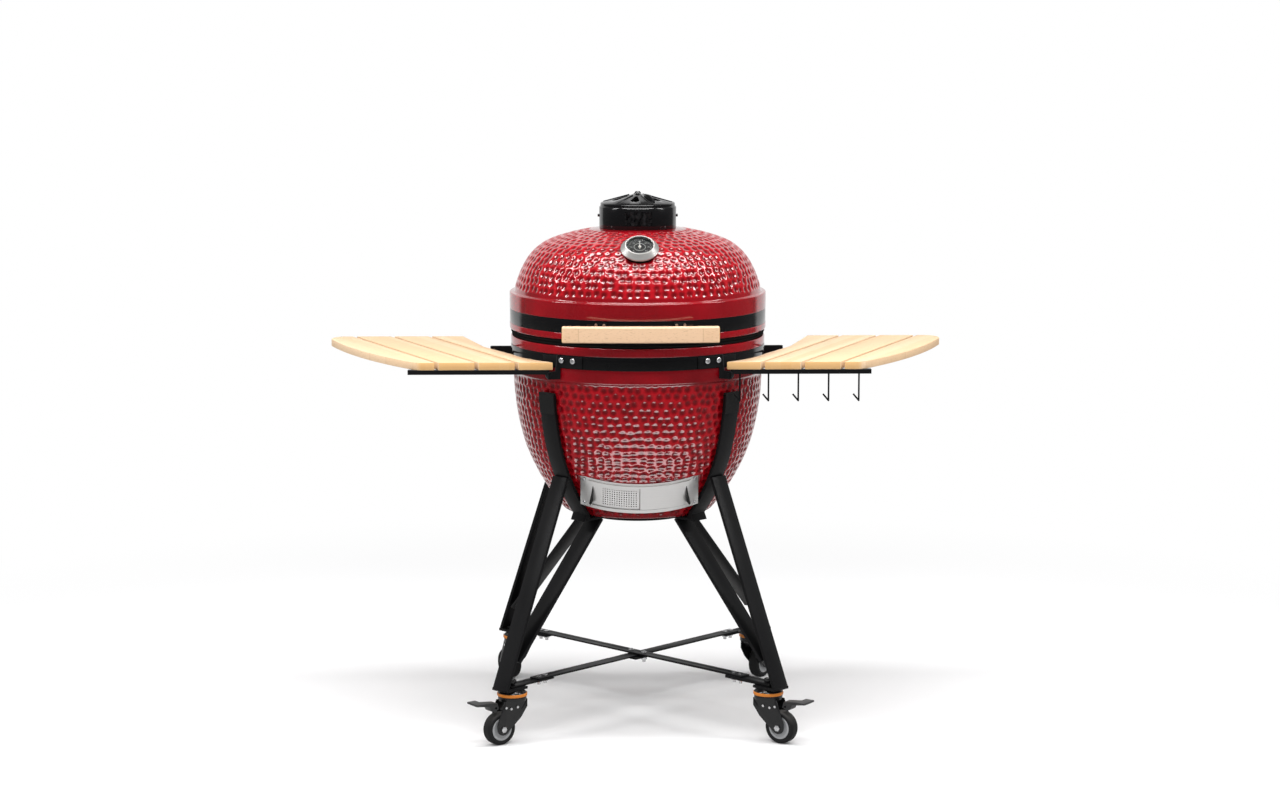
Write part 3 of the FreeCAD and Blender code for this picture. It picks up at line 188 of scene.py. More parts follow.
def edgedCopy(node, width):  # the frame's own shape, its loose triangles merged and its edges rounded
    piece = nodes[node].copy()
    piece.data = nodes[node].data.copy()
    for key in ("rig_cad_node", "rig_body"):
        del piece[key]
    body = nodes[node]["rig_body"]
    piece.parent = None
    piece.name = node + "_edged"
    bpy.context.scene.collection.objects.link(piece)
    editWhole(piece)
    bpy.ops.mesh.customdata_custom_splitnormals_clear()
    bpy.ops.mesh.remove_doubles(threshold=weld / 2)
    bpy.ops.mesh.dissolve_limited(angle_limit=math.radians(0.6))
    leaveEdit()
    applied(piece, "BEVEL", width=width * mm, segments=2, limit_method="ANGLE",
            angle_limit=math.radians(38), use_clamp_overlap=True, miter_outer="MITER_ARC")
    smooth(piece)
    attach(piece, body)
    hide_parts(node)
    return piece


# shared effects, each a node group with its own inputs

def newGroup(name, inputs, outputs):  # coordinates come in first, and every other socket is a number
    tree = bpy.data.node_groups.new(name, "ShaderNodeTree")
    tree.interface.new_socket(name="Coords", in_out="INPUT", socket_type="NodeSocketVector")
    for label, default in inputs.items():
        socket = tree.interface.new_socket(name=label, in_out="INPUT", socket_type="NodeSocketFloat")
        socket.default_value = default
    for label in outputs:
        tree.interface.new_socket(name=label, in_out="OUTPUT", socket_type="NodeSocketFloat")
    return tree, tree.nodes.new("NodeGroupInput").outputs, tree.nodes.new("NodeGroupOutput").inputs


def put(tree, kind, inputs=None, **settings):
    node = tree.nodes.new(kind)
    for key, value in settings.items():
        setattr(node, key, value)
    for key, value in (inputs or {}).items():
        if isinstance(value, bpy.types.NodeSocket):
            tree.links.new(value, node.inputs[key])
        else:
            node.inputs[key].default_value = value
    return node


def maths(tree, operation, first, second=0.0, clamp=False):
    return put(tree, "ShaderNodeMath", {0: first, 1: second}, operation=operation, use_clamp=clamp).outputs[0]


def times(tree, first, second, clamp=False):
    return maths(tree, "MULTIPLY", first, second, clamp)


def mixed(tree, share, first, second):
    return put(tree, "ShaderNodeMix", {0: share, 6: first, 7: second}, data_type="RGBA").outputs[2]


def ranged(tree, value, low, high, toLow, toHigh):
    return put(tree, "ShaderNodeMapRange", {0: value, 1: low, 2: high, 3: toLow, 4: toHigh}).outputs[0]


def spread(tree, noise, low, high):  # most of a noise lies between 0.3 and 0.7
    return ranged(tree, noise, 0.3, 0.7, low, high)


def noised(tree, coords, scale, detail, roughness=0.5):
    return put(tree, "ShaderNodeTexNoise", {"Vector": coords, "Scale": scale, "Detail": detail,
                                            "Roughness": roughness}).outputs[0]


def opaque(colour, factor=1.0, lift=0.0):
    return tuple(min(1, part * factor + lift) for part in colour) + (1,)


def makeGrain():  # fine speckle or streaks, with a slow drift under it
    tree, given, result = newGroup("grain", {"Scale": 300.0, "Drift Scale": 6.0}, ["Speckle", "Drift"])
    tree.links.new(noised(tree, given["Coords"], given["Scale"], 3.0, 0.6), result["Speckle"])
    tree.links.new(noised(tree, given["Coords"], given["Drift Scale"], 4.0), result["Drift"])
    return tree


def makeEdgeWear():  # 1 along an edge, broken up by noise, 0 on the flats
    tree, given, result = newGroup("edgeWear", {"Width": 0.0015, "Amount": 1.0}, ["Mask"])
    rounded = put(tree, "ShaderNodeBevel", {"Radius": given["Width"]}, samples=4)
    flat = put(tree, "ShaderNodeNewGeometry")
    match = put(tree, "ShaderNodeVectorMath", {0: rounded.outputs[0], 1: flat.outputs["Normal"]},
                operation="DOT_PRODUCT").outputs["Value"]
    edge = ranged(tree, match, 0.985, 0.86, 0.0, 1.0)
    broken = ranged(tree, noised(tree, given["Coords"], 90.0, 5.0), 0.42, 0.62, 0.25, 1.0)
    mask = times(tree, times(tree, edge, broken), given["Amount"], clamp=True)
    tree.links.new(mask, result["Mask"])
    return tree


def makeDust():  # a thin film on what faces up
    tree, given, result = newGroup("dust", {"Amount": 0.2}, ["Mask"])
    facing = put(tree, "ShaderNodeSeparateXYZ", {0: put(tree, "ShaderNodeNewGeometry").outputs["Normal"]})
    up = ranged(tree, facing.outputs[2], 0.2, 1.0, 0.0, 1.0)
    patchy = ranged(tree, noised(tree, given["Coords"], 14.0, 6.0), 0.35, 0.7, 0.0, 1.0)
    mask = times(tree, times(tree, up, patchy), given["Amount"], clamp=True)
    tree.links.new(mask, result["Mask"])
    return tree


grainGroup, wearGroup, dustGroup = makeGrain(), makeEdgeWear(), makeDust()
print("node groups made")


def startMaterial(name, **constants):  # an empty material with its shader and object coordinates
    material = bpy.data.materials.new(name)
    material.use_nodes = True
    tree = material.node_tree
    shader = tree.nodes["Principled BSDF"]
    for key, value in constants.items():
        shader.inputs[key.replace("_", " ")].default_value = value
    coords = put(tree, "ShaderNodeTexCoord").outputs["Object"]
    return material, tree, shader, coords


def group(tree, which, **inputs):
    named = {key.replace("_", " "): value for key, value in inputs.items()}
    return put(tree, "ShaderNodeGroup", named, node_tree=which).outputs


def grained(tree, coords, scale, drift=7.0):
    return group(tree, grainGroup, Coords=coords, Scale=scale, Drift_Scale=drift)


def wired(tree, shader, colour, rough, height, depth, strength=1.0):  # depth of the bump in mm
    bump = put(tree, "ShaderNodeBump", {"Height": height, "Distance": depth * mm, "Strength": strength})
    tree.links.new(colour, shader.inputs["Base Color"])
    tree.links.new(bump.outputs[0], shader.inputs["Normal"])
    if rough is not None:
        tree.links.new(rough, shader.inputs["Roughness"])


filmDust = (0.34, 0.32, 0.30)


def coated(name, look):  # paint, plastic and rubber: one colour with speckle, drift, worn edges and dust
    material, tree, shader, coords = startMaterial(
        name, Coat_Weight=look.get("coat", 0.0), Coat_Roughness=look.get("coatRough", 0.1), Metallic=0.0,
        Specular_IOR_Level=look.get("specular", 0.5))
    grain = grained(tree, coords, look["grain"])
    colour = mixed(tree, grain["Drift"], opaque(look["colour"], 0.80), opaque(look["colour"], 1.25, 0.002))
    wear = group(tree, wearGroup, Coords=coords, Amount=look["wear"])
    colour = mixed(tree, wear["Mask"], colour, opaque(look["worn"]))
    dust = group(tree, dustGroup, Coords=coords, Amount=look.get("dust", 0.15))
    colour = mixed(tree, dust["Mask"], colour, opaque(filmDust))
    rough = spread(tree, grain["Drift"], look["rough"] - 0.05, look["rough"] + 0.07)
    rough = maths(tree, "ADD", rough, times(tree, dust["Mask"], 0.3), clamp=True)
    wired(tree, shader, colour, rough, grain["Speckle"], look["bump"])
    return material


def metal(name, look):  # bare steel: brushed or turned, with streaks in its gloss
    material, tree, shader, spot = startMaterial(name, Metallic=1.0)
    if look.get("turned"):  # rings about the part's own axis
        apart = put(tree, "ShaderNodeSeparateXYZ", {0: spot})
        radius = put(tree, "ShaderNodeVectorMath", {0: put(tree, "ShaderNodeCombineXYZ", {
            0: apart.outputs[0], 1: apart.outputs[1]}).outputs[0]}, operation="LENGTH").outputs["Value"]
        spot = put(tree, "ShaderNodeCombineXYZ", {0: radius, 1: apart.outputs[2]}).outputs[0]
    streak = put(tree, "ShaderNodeMapping", {"Vector": spot, "Scale": look["stretch"]}).outputs[0]
    streaks = grained(tree, streak, look["grain"])["Speckle"]
    contrast = look.get("contrast", 0.2)
    low, high = opaque(look["colour"], 1 - contrast), opaque(look["colour"], 1 + contrast)
    rough = spread(tree, streaks, look["rough"] - 0.08, look["rough"] + 0.1)
    wired(tree, shader, mixed(tree, streaks, low, high), rough, streaks, look["bump"])
    return material


redGlazeLook = {
    # the thin colour is the paler ridge colour: thinner glaze plus a painted reflection
    "deep": (0.08, 0.0003, 0.002), "bright": (0.36, 0.0012, 0.008), "thin": (0.56, 0.006, 0.014),
    "pooled": 0.65, "thinAndSheenShare": 0.5, "rough": 0.22, "speckle": 700.0,
}


def makeRedGlaze(look):  # pooled dark glaze in the hollows; paler along the ridges, partly from thinner glaze and partly a painted reflection of the bright floor
    material, tree, shader, coords = startMaterial(
        "redGlaze", Coat_Weight=1.0, Coat_Roughness=0.0, Coat_IOR=1.7, Specular_IOR_Level=0.15)
    thin = put(tree, "ShaderNodeAttribute", attribute_name="thinGlazeAndSheen").outputs["Fac"]
    pool = put(tree, "ShaderNodeAttribute", attribute_name="glazePool").outputs["Fac"]
    grain = grained(tree, coords, look["speckle"], 9.0)
    base = mixed(tree, spread(tree, grain["Drift"], 0.35, 0.75), opaque(look["deep"]), opaque(look["bright"]))
    base = mixed(tree, times(tree, pool, look["pooled"]), base, opaque(look["deep"]))
    # the pale ridge colour is part thin glaze and part painted reflection
    colour = mixed(tree, times(tree, thin, look["thinAndSheenShare"]), base, opaque(look["thin"]))
    rough = spread(tree, grain["Speckle"], look["rough"], look["rough"] + 0.1)
    wired(tree, shader, colour, rough, noised(tree, coords, 38.0, 2.0), 0.25, 0.5)
    return material


def makeFireClay():  # unglazed ceramic inside: sandy, with dark grog and scorched patches
    material, tree, shader, coords = startMaterial("fireClay")
    grain = grained(tree, coords, 420.0, 5.0)
    base = mixed(tree, grain["Drift"], (0.42, 0.33, 0.24, 1), (0.60, 0.52, 0.42, 1))
    grog = ranged(tree, grain["Speckle"], 0.62, 0.70, 0.0, 1.0)
    colour = mixed(tree, grog, base, (0.16, 0.11, 0.08, 1))
    wired(tree, shader, colour, spread(tree, grain["Speckle"], 0.78, 0.95), grain["Speckle"], 0.5)
    return material


bambooLook = {
    "pale": (0.84, 0.62, 0.41), "mid": (0.77, 0.52, 0.30), "end": (0.74, 0.42, 0.14),
    "line": (0.42, 0.23, 0.10), "strip": 22.0, "knuckle": 0.26, "knot": 0.3,
}


def makeBamboo(name, turn, look):  # glued strips along the grain, pores, knuckle lines and golden end grain
    material, tree, shader, coords = startMaterial(name, Coat_Weight=0.12, Coat_Roughness=0.25)
    turn = math.radians(turn)
    spot = put(tree, "ShaderNodeMapping", {"Vector": coords, "Rotation": (0, 0, turn)}).outputs[0]
    across, along, up = put(tree, "ShaderNodeSeparateXYZ", {0: spot}).outputs
    place = maths(tree, "DIVIDE", across, look["strip"] * mm)
    chance = put(tree, "ShaderNodeTexWhiteNoise", {"W": maths(tree, "FLOOR", place)},
                 noise_dimensions="1D").outputs["Value"]

    def offMiddle(value):  # how far a repeating value is from the middle of its cell
        return maths(tree, "ABSOLUTE", maths(tree, "SUBTRACT", maths(tree, "FRACT", value), 0.5))

    streaks = put(tree, "ShaderNodeCombineXYZ", {
        0: times(tree, across, 420.0), 1: times(tree, along, 9.0), 2: times(tree, up, 420.0)}).outputs[0]
    fibre = noised(tree, streaks, 1.0, 3.0, 0.6)
    dots = put(tree, "ShaderNodeMapping", {"Vector": spot, "Scale": (900, 120, 900)}).outputs[0]
    pores = noised(tree, dots, 1.0, 1.0)
    step = maths(tree, "ADD", maths(tree, "DIVIDE", along, look["knuckle"]), times(tree, chance, 3.0))
    knuckle = ranged(tree, offMiddle(step), 0.0, 0.012, 1.0, 0.0)
    seam = ranged(tree, offMiddle(place), 0.488, 0.5, 0.0, 1.0)
    shade = maths(tree, "ADD", times(tree, chance, 0.7), times(tree, fibre, 0.6))
    line = opaque(look["line"])
    colour = mixed(tree, ranged(tree, shade, 0.25, 1.1, 0.0, 1.0), opaque(look["mid"]), opaque(look["pale"]))
    colour = mixed(tree, ranged(tree, pores, 0.60, 0.72, 0.0, 0.45), colour, line)
    knot = times(tree, knuckle, look["knot"])
    colour = mixed(tree, times(tree, seam, 0.35), mixed(tree, knot, colour, line), line)
    normal = put(tree, "ShaderNodeTexCoord").outputs["Normal"]
    facing = put(tree, "ShaderNodeVectorMath", {0: normal, 1: (math.sin(turn), math.cos(turn), 0)},
                 operation="DOT_PRODUCT").outputs["Value"]
    endGrain = ranged(tree, maths(tree, "ABSOLUTE", facing), 0.6, 0.85, 0.0, 0.75)
    colour = mixed(tree, endGrain, colour, opaque(look["end"]))
    wired(tree, shader, colour, spread(tree, fibre, 0.38, 0.52), maths(tree, "SUBTRACT", fibre, knot), 0.12)
    return material


def makeFelt():  # pressed fibres, a little fluffy
    material, tree, shader, coords = startMaterial("gasketFelt", Specular_IOR_Level=0.08)
    grain = grained(tree, coords, 1400.0, 30.0)
    fluff = mixed(tree, grain["Speckle"], opaque((0.002,) * 3), opaque((0.010,) * 3))
    wired(tree, shader, fluff, spread(tree, grain["Drift"], 0.88, 1.0), grain["Speckle"], 0.6)
    return material


def makeGlass():
    material, tree, shader, coords = startMaterial(
        "gaugeGlass", Transmission_Weight=1.0, IOR=1.45, Roughness=0.0)
    drift = grained(tree, coords, 60.0, 6.0)["Drift"]
    wired(tree, shader, mixed(tree, drift, (0.94, 0.96, 0.96, 1), (1, 1, 1, 1)), None, drift, 0.01, 0.2)
    return material


printed = {"rough": 0.5, "grain": 800.0, "bump": 0.01, "wear": 0.0, "dust": 0.0}
coatings = {
    "blackSteel": {"colour": (0.004, 0.004, 0.0045), "specular": 0.14, "rough": 0.34, "grain": 900.0,
                   "bump": 0.05, "wear": 0.2, "worn": (0.035, 0.035, 0.04), "dust": 0.008},
    "padRubber": {"colour": (0.007, 0.007, 0.007), "specular": 0.3, "rough": 0.75, "grain": 1300.0,
                  "bump": 0.25, "wear": 0.2, "worn": (0.03, 0.03, 0.03), "dust": 0.02},
    "ventEnamel": {"colour": (0.003, 0.003, 0.0035), "specular": 0.08, "rough": 0.22, "grain": 500.0,
                   "bump": 0.04, "wear": 0.3, "worn": (0.09, 0.09, 0.095), "dust": 0.02,
                   "coat": 0.8, "coatRough": 0.0},
    "casterEnamel": {"colour": (0.005, 0.005, 0.0055), "specular": 0.2, "rough": 0.2, "grain": 300.0,
                     "bump": 0.03, "wear": 0.4, "worn": (0.12, 0.12, 0.13), "dust": 0.03,
                     "coat": 0.5, "coatRough": 0.06},
    "grateIron": {"colour": (0.022, 0.020, 0.019), "rough": 0.62, "grain": 350.0, "bump": 0.35,
                  "wear": 0.5, "worn": (0.10, 0.09, 0.08)},
    "dialPaint": {**printed, "colour": (0.010, 0.010, 0.011), "bump": 0.02, "worn": (0.1, 0.1, 0.1)},
    "markPaint": {**printed, "colour": (0.75, 0.75, 0.72), "worn": (0.8, 0.8, 0.8)},
    "needlePaint": {**printed, "colour": (0.78, 0.76, 0.72), "rough": 0.35, "worn": (0.8, 0.8, 0.8)},
    "orangeSeal": {"colour": (0.62, 0.19, 0.015), "rough": 0.42, "grain": 600.0, "bump": 0.05,
                   "wear": 0.3, "worn": (0.8, 0.38, 0.10)},
    "tyreRubber": {"colour": (0.008, 0.008, 0.0085), "specular": 0.25, "rough": 0.58, "grain": 900.0,
                   "bump": 0.10, "wear": 0.5, "worn": (0.06, 0.058, 0.055), "dust": 0.3},
    "hubPlastic": {"colour": (0.34, 0.345, 0.355), "rough": 0.34, "grain": 500.0, "bump": 0.03,
                   "wear": 0.4, "worn": (0.62, 0.62, 0.64), "dust": 0.1, "coat": 0.2},
    "pedalPlastic": {"colour": (0.013, 0.013, 0.014), "rough": 0.4, "grain": 900.0, "bump": 0.08,
                     "wear": 0.4, "worn": (0.08, 0.08, 0.085), "dust": 0.12},
}
metals = {
    "grateSteel": {"colour": (0.62, 0.60, 0.57), "rough": 0.28, "grain": 120.0, "stretch": (1, 0.1, 1),
                   "bump": 0.02},
    "boltSteel": {"colour": (0.72, 0.72, 0.73), "rough": 0.2, "grain": 500.0, "stretch": (1, 1, 1),
                  "bump": 0.02},
    "doorSteel": {"colour": (0.80, 0.79, 0.78), "rough": 0.38, "grain": 1.0, "stretch": (5, 5, 1800),
                  "bump": 0.01, "contrast": 0.1},
    "bezelSteel": {"colour": (0.58, 0.57, 0.55), "rough": 0.38, "grain": 1.0, "stretch": (2400, 300, 1),
                   "bump": 0.02, "contrast": 0.1, "turned": True},
    "springSteel": {"colour": (0.30, 0.30, 0.31), "rough": 0.3, "grain": 700.0, "stretch": (1, 1, 1),
                    "bump": 0.03},
}
paint = {name: coated(name, look) for name, look in coatings.items()}
paint.update({name: metal(name, look) for name, look in metals.items()})
paint["redGlaze"] = makeRedGlaze(redGlazeLook)
paint["fireClay"] = makeFireClay()
paint["rightBamboo"] = makeBamboo("rightBamboo", 24.5, bambooLook)
paint["leftBamboo"] = makeBamboo("leftBamboo", -24.5, bambooLook)
handleLook = {**bambooLook, "strip": 12.0, "knot": 0.0, "pale": (0.90, 0.63, 0.42),
              "mid": (0.82, 0.54, 0.33)}
paint["handleBamboo"] = makeBamboo("handleBamboo", 90.0, handleLook)
paint["gasketFelt"] = makeFelt()
paint["gaugeGlass"] = makeGlass()
print("finishes mixed")


def dress(piece, finish):
    piece.data.materials.clear()
    piece.data.materials.append(paint[finish])
    return piece


# stage, light and camera

stageLook = {"reach": 60.0, "colour": (0.90, 0.90, 0.905), "bounce": (0.45, 0.45, 0.45),
             "near": 0.9, "far": 2.6, "shine": 4.5, "shineFrom": 0.72, "shineTo": 0.98, "gloom": 0.06}
air = {"seen": 1.0, "soft": 0.45, "dark": 0.02, "bright": 0.95, "from": 0.60, "to": 0.70}  # dark in front


def makeStage(look):  # pale paper that fades to plain white further out, and glows for mirror rays as a painted reflection
    deselectAll()
    bpy.ops.mesh.primitive_circle_add(vertices=64, radius=look["reach"], fill_type="NGON")
    floor = bpy.context.object
    floor.name = "studioFloor"
    material, tree, shader, coords = startMaterial("studioPaper", Roughness=0.7)
    grain = grained(tree, coords, 30.0, 0.4)
    path = put(tree, "ShaderNodeLightPath").outputs
    isSeen = path["Is Camera Ray"]
    seen = mixed(tree, times(tree, grain["Drift"], 0.02), opaque(look["colour"]), (0.8, 0.8, 0.8, 1))
    tree.links.new(mixed(tree, isSeen, opaque(look["bounce"]), seen), shader.inputs["Base Color"])
    distance = put(tree, "ShaderNodeVectorMath", {0: coords}, operation="LENGTH").outputs["Value"]
    outward = put(tree, "ShaderNodeMapRange", {0: distance, 1: look["near"], 2: look["far"]},
                  interpolation_type="SMOOTHSTEP").outputs[0]
    glow = put(tree, "ShaderNodeEmission", {0: (1, 1, 1, 1), 1: 1.0}).outputs[0]
    share = times(tree, outward, isSeen)
    blend = put(tree, "ShaderNodeMixShader", {0: share, 1: shader.outputs[0], 2: glow}).outputs[0]
    # painted reflection: for mirror rays the floor glows, a bright ring in front and white behind, which puts
    # a curved highlight in each dent
    ring = times(tree, ranged(tree, distance, look["shineFrom"] - 0.1, look["shineFrom"], 0.0, 1.0),
                 ranged(tree, distance, look["shineTo"], look["shineTo"] + 0.2, 1.0, 0.0))
    way = put(tree, "ShaderNodeVectorMath", {0: coords}, operation="NORMALIZE").outputs[0]
    forward = put(tree, "ShaderNodeSeparateXYZ", {0: way}).outputs[1]
    ring = times(tree, ring, ranged(tree, forward, -0.5, -0.75, 0.0, look["shine"]))
    back = ranged(tree, forward, air["from"], air["to"], look["gloom"], air["bright"])
    bright = put(tree, "ShaderNodeEmission", {0: (1, 1, 1, 1), 1: maths(tree, "ADD", ring, back)}).outputs[0]
    blend = put(tree, "ShaderNodeMixShader", {0: path["Is Singular Ray"], 1: blend, 2: bright}).outputs[0]
    tree.links.new(blend, tree.nodes["Material Output"].inputs["Surface"])
    floor.data.materials.append(material)


lamps = {  # size across and up, place, aim, watts, whether it shows in a shine
    "overhead": ((2.8, 0.7), (0.0, -0.40, 3.6), (0, 0, 0.8), 70, True),
    "frontTop": ((3.4, 0.28), (0.0, -2.1, 3.7), (0, 0, 0.9), 52, True),
    "leftTop": ((0.4, 1.4), (-2.4, -0.3, 3.0), (0, 0, 0.9), 26, True),
    "rightTop": ((0.4, 1.4), (2.4, -0.3, 3.0), (0, 0, 0.9), 26, True),
    "leftBox": ((0.6, 2.2), (-3.0, -1.4, 1.7), (0, 0, 0.9), 22, False),
    "rightBox": ((0.6, 2.2), (3.0, -1.4, 1.7), (0, 0, 0.9), 18, False),
    "frontFill": ((1.6, 0.7), (0.0, -6.5, 4.2), (0, 0, 0.7), 80, False),
}


def makeLamps(wanted):
    for name, (size, spot, aim, watts, shows) in wanted.items():
        deselectAll()
        bpy.ops.object.light_add(type="AREA", location=spot)
        lamp = bpy.context.object
        lamp.name = name
        lamp.data.shape = "RECTANGLE"
        lamp.data.size, lamp.data.size_y = size
        lamp.data.energy = watts
        lamp.visible_glossy = shows
        lamp.rotation_euler = (Vector(aim) - Vector(spot)).to_track_quat("-Z", "Y").to_euler()
    world = bpy.data.worlds.new("studioAir")
    world.use_nodes = True
    tree = world.node_tree
    way = put(tree, "ShaderNodeSeparateXYZ", {0: put(tree, "ShaderNodeTexCoord").outputs["Generated"]})
    side = ranged(tree, way.outputs[1], air["from"], air["to"], air["dark"], air["bright"])
    path = put(tree, "ShaderNodeLightPath").outputs
    light = put(tree, "ShaderNodeMix", {0: path["Is Singular Ray"], 2: air["soft"], 3: side},
                data_type="FLOAT").outputs[0]
    strength = put(tree, "ShaderNodeMix", {0: path["Is Camera Ray"], 2: light, 3: air["seen"]},
                   data_type="FLOAT").outputs[0]
    background = tree.nodes["Background"]
    background.inputs[0].default_value = (1, 1, 1, 1)
    tree.links.new(strength, background.inputs[1])
    bpy.context.scene.world = world
    bpy.context.scene.view_settings.view_transform = "Standard"


cameraLook = {"back": 6.919, "height": 1.7812, "pitch": 8.42, "swing": -1.2, "lens": 82.4, "shift": 0.0018}


def makeCamera(look):
    swing = math.radians(look["swing"])
    spot = (look["back"] * math.sin(swing), -look["back"] * math.cos(swing), look["height"])
    bpy.ops.object.camera_add(location=spot, rotation=(math.radians(90 - look["pitch"]), 0, swing))
    camera = bpy.context.object
    camera.data.lens = look["lens"]
    camera.data.sensor_width = 36
    camera.data.shift_x = look["shift"]
    bpy.context.scene.camera = camera


makeStage(stageLook)
makeLamps(lamps)
makeCamera(cameraLook)
print("stage, lamps and camera set")


# the dimpled ceramic

wobble = {"row": 0.12, "around": 0.17, "up": 0.14}  # how far dents stray, as parts of a cell


def pressDimples(piece, look, path):  # path is the outer skin's line as (radius, height)
    line = np.array(path, float)
    runs = np.concatenate([[0], np.cumsum(np.hypot(*np.diff(line, axis=0).T))])
    count = len(piece.data.vertices)
    places = np.empty(count * 3)
    piece.data.vertices.foreach_get("co", places)
    places = places.reshape(-1, 3) / mm
    radius, height = np.hypot(places[:, 0], places[:, 1]), places[:, 2]
    angle = np.arctan2(places[:, 1], places[:, 0])
    order = np.argsort(line[:, 1])
    skin = np.abs(radius - np.interp(height, line[order, 1], line[order, 0])) < 0.6
    skin &= (height > line[:, 1].min() - 0.1) & (height < line[:, 1].max() + 0.1)
    spots = np.where(skin)[0]
    along = np.interp(height[spots], line[order, 1], runs[order])
    cell, rowStep = look["cell"], look["cell"] * 0.866
    rows = max(1, int((runs[-1] - 2 * look["margin"]) / rowStep)) + 1
    start = (runs[-1] - (rows - 1) * rowStep) / 2
    nearest = np.full(len(spots), 1e6)
    second = np.full(len(spots), 1e6)
    dice = np.random.default_rng(look["seed"])
    for row in range(rows):
        middle = start + row * rowStep
        ringRadius = np.interp(middle, runs, line[:, 0])
        cells = int(round(2 * math.pi * ringRadius / cell))
        shift = (row % 2) * 0.5 + dice.uniform(-wobble["row"], wobble["row"])
        wobbleAround = dice.uniform(-wobble["around"], wobble["around"], cells)
        wobbleUp = dice.uniform(-wobble["up"], wobble["up"], cells)
        near = np.where(np.abs(along - middle) < 2.2 * rowStep)[0]
        turn = angle[spots[near]] / (2 * math.pi) * cells - shift
        for side in (-1, 0, 1):
            number = np.round(turn).astype(int) + side
            here = number % cells
            sideways = (turn - number - wobbleAround[here]) * (2 * math.pi / cells) * radius[spots[near]]
            upward = along[near] - middle - wobbleUp[here] * cell
            distance = np.hypot(sideways, upward)
            closer = distance < nearest[near]
            second[near] = np.where(closer, nearest[near], np.minimum(second[near], distance))
            nearest[near] = np.where(closer, distance, nearest[near])
    bowlShape = np.clip(1 - (nearest / (cell * look["dent"])) ** 2, 0, 1)
    ridge = np.clip((second - nearest) / (cell * 0.1), 0, 1)
    ridge = ridge * ridge * (3 - 2 * ridge)
    inside = np.minimum(along - start + cell * 0.5, runs[-1] - start + cell * 0.5 - along)
    edge = np.clip(inside / (cell * 0.25), 0, 1)
    depth = look["depth"] * bowlShape * ridge * edge
    tangent = np.gradient(line, axis=0)
    tangent /= np.linalg.norm(tangent, axis=1)[:, None]
    outX = np.interp(along, runs, tangent[:, 1])
    outZ = np.interp(along, runs, -tangent[:, 0])
    sign = 1 if line[-1, 1] > line[0, 1] else -1
    outX, outZ = outX * sign, outZ * sign
    places[spots, 0] -= depth * outX * np.cos(angle[spots])
    places[spots, 1] -= depth * outX * np.sin(angle[spots])
    places[spots, 2] -= depth * outZ
    piece.data.vertices.foreach_set("co", (places * mm).ravel())
    # the ridge share marks thinner glaze and also a painted reflection along the ridges; the dent share marks
    # pooled glaze
    for name, value in (("thinGlazeAndSheen", (1 - bowlShape) ** 2 * edge), ("glazePool", bowlShape * ridge * edge)):
        layer = piece.data.attributes.new(name, "FLOAT", "POINT")
        whole = np.zeros(count, np.float32)
        whole[spots] = value
        layer.data.foreach_set("value", whole)
    piece.data.update()


bowl = {
    "foot": (177, 502), "waist": (267, 655), "shoulder": (295, 831), "lowerArc": 496.8, "upperArc": 592.7,
    "wall": 25, "floor": 25, "rim": 300, "bandLow": 867, "bandHigh": 898, "top": 918, "groove": 2.5,
    "cell": 20.0, "dent": 0.47, "depth": 2.6, "margin": 7.0, "seed": 5, "columns": 588, "step": 3.0,
}
door = {"radius": 213.5, "front": -234.0, "middle": 560.0, "lean": 17.0, "sunk": 1.8}
doorway = (120, 233, 50, 60)  # inner and outer radius and height in mm, and degrees
doorLean = math.radians(door["lean"])
doorTurn = Matrix.Rotation(doorLean, 3, "X")
doorAxis = (0, door["front"] + door["radius"] * math.cos(doorLean),
            door["middle"] + door["radius"] * math.sin(doorLean))


def doorSector(name, inner, outer, tall, degrees):
    piece = sector(name, inner, outer, -tall / 2, tall / 2, degrees, 40)
    piece.rotation_euler.x = doorLean
    piece.location = metres(doorAxis)
    settle(piece)
    return piece


def rounded(corner, before, after, reach, count=4):  # a soft corner in a profile
    a = Vector(corner) + (Vector(before) - Vector(corner)).normalized() * reach
    b = Vector(corner) + (Vector(after) - Vector(corner)).normalized() * reach
    c = Vector(corner)
    shares = [number / count for number in range(count + 1)]
    return [tuple(a * (1 - t) ** 2 + c * 2 * t * (1 - t) + b * t ** 2) for t in shares]


def softLine(points, reach):  # the same profile with every inner corner rounded
    result = [points[0]]
    for before, corner, after in zip(points, points[1:], points[2:]):
        room = min((Vector(before) - Vector(corner)).length, (Vector(after) - Vector(corner)).length) * 0.45
        result += rounded(corner, before, after, min(reach, room))
    return result + [points[-1]]


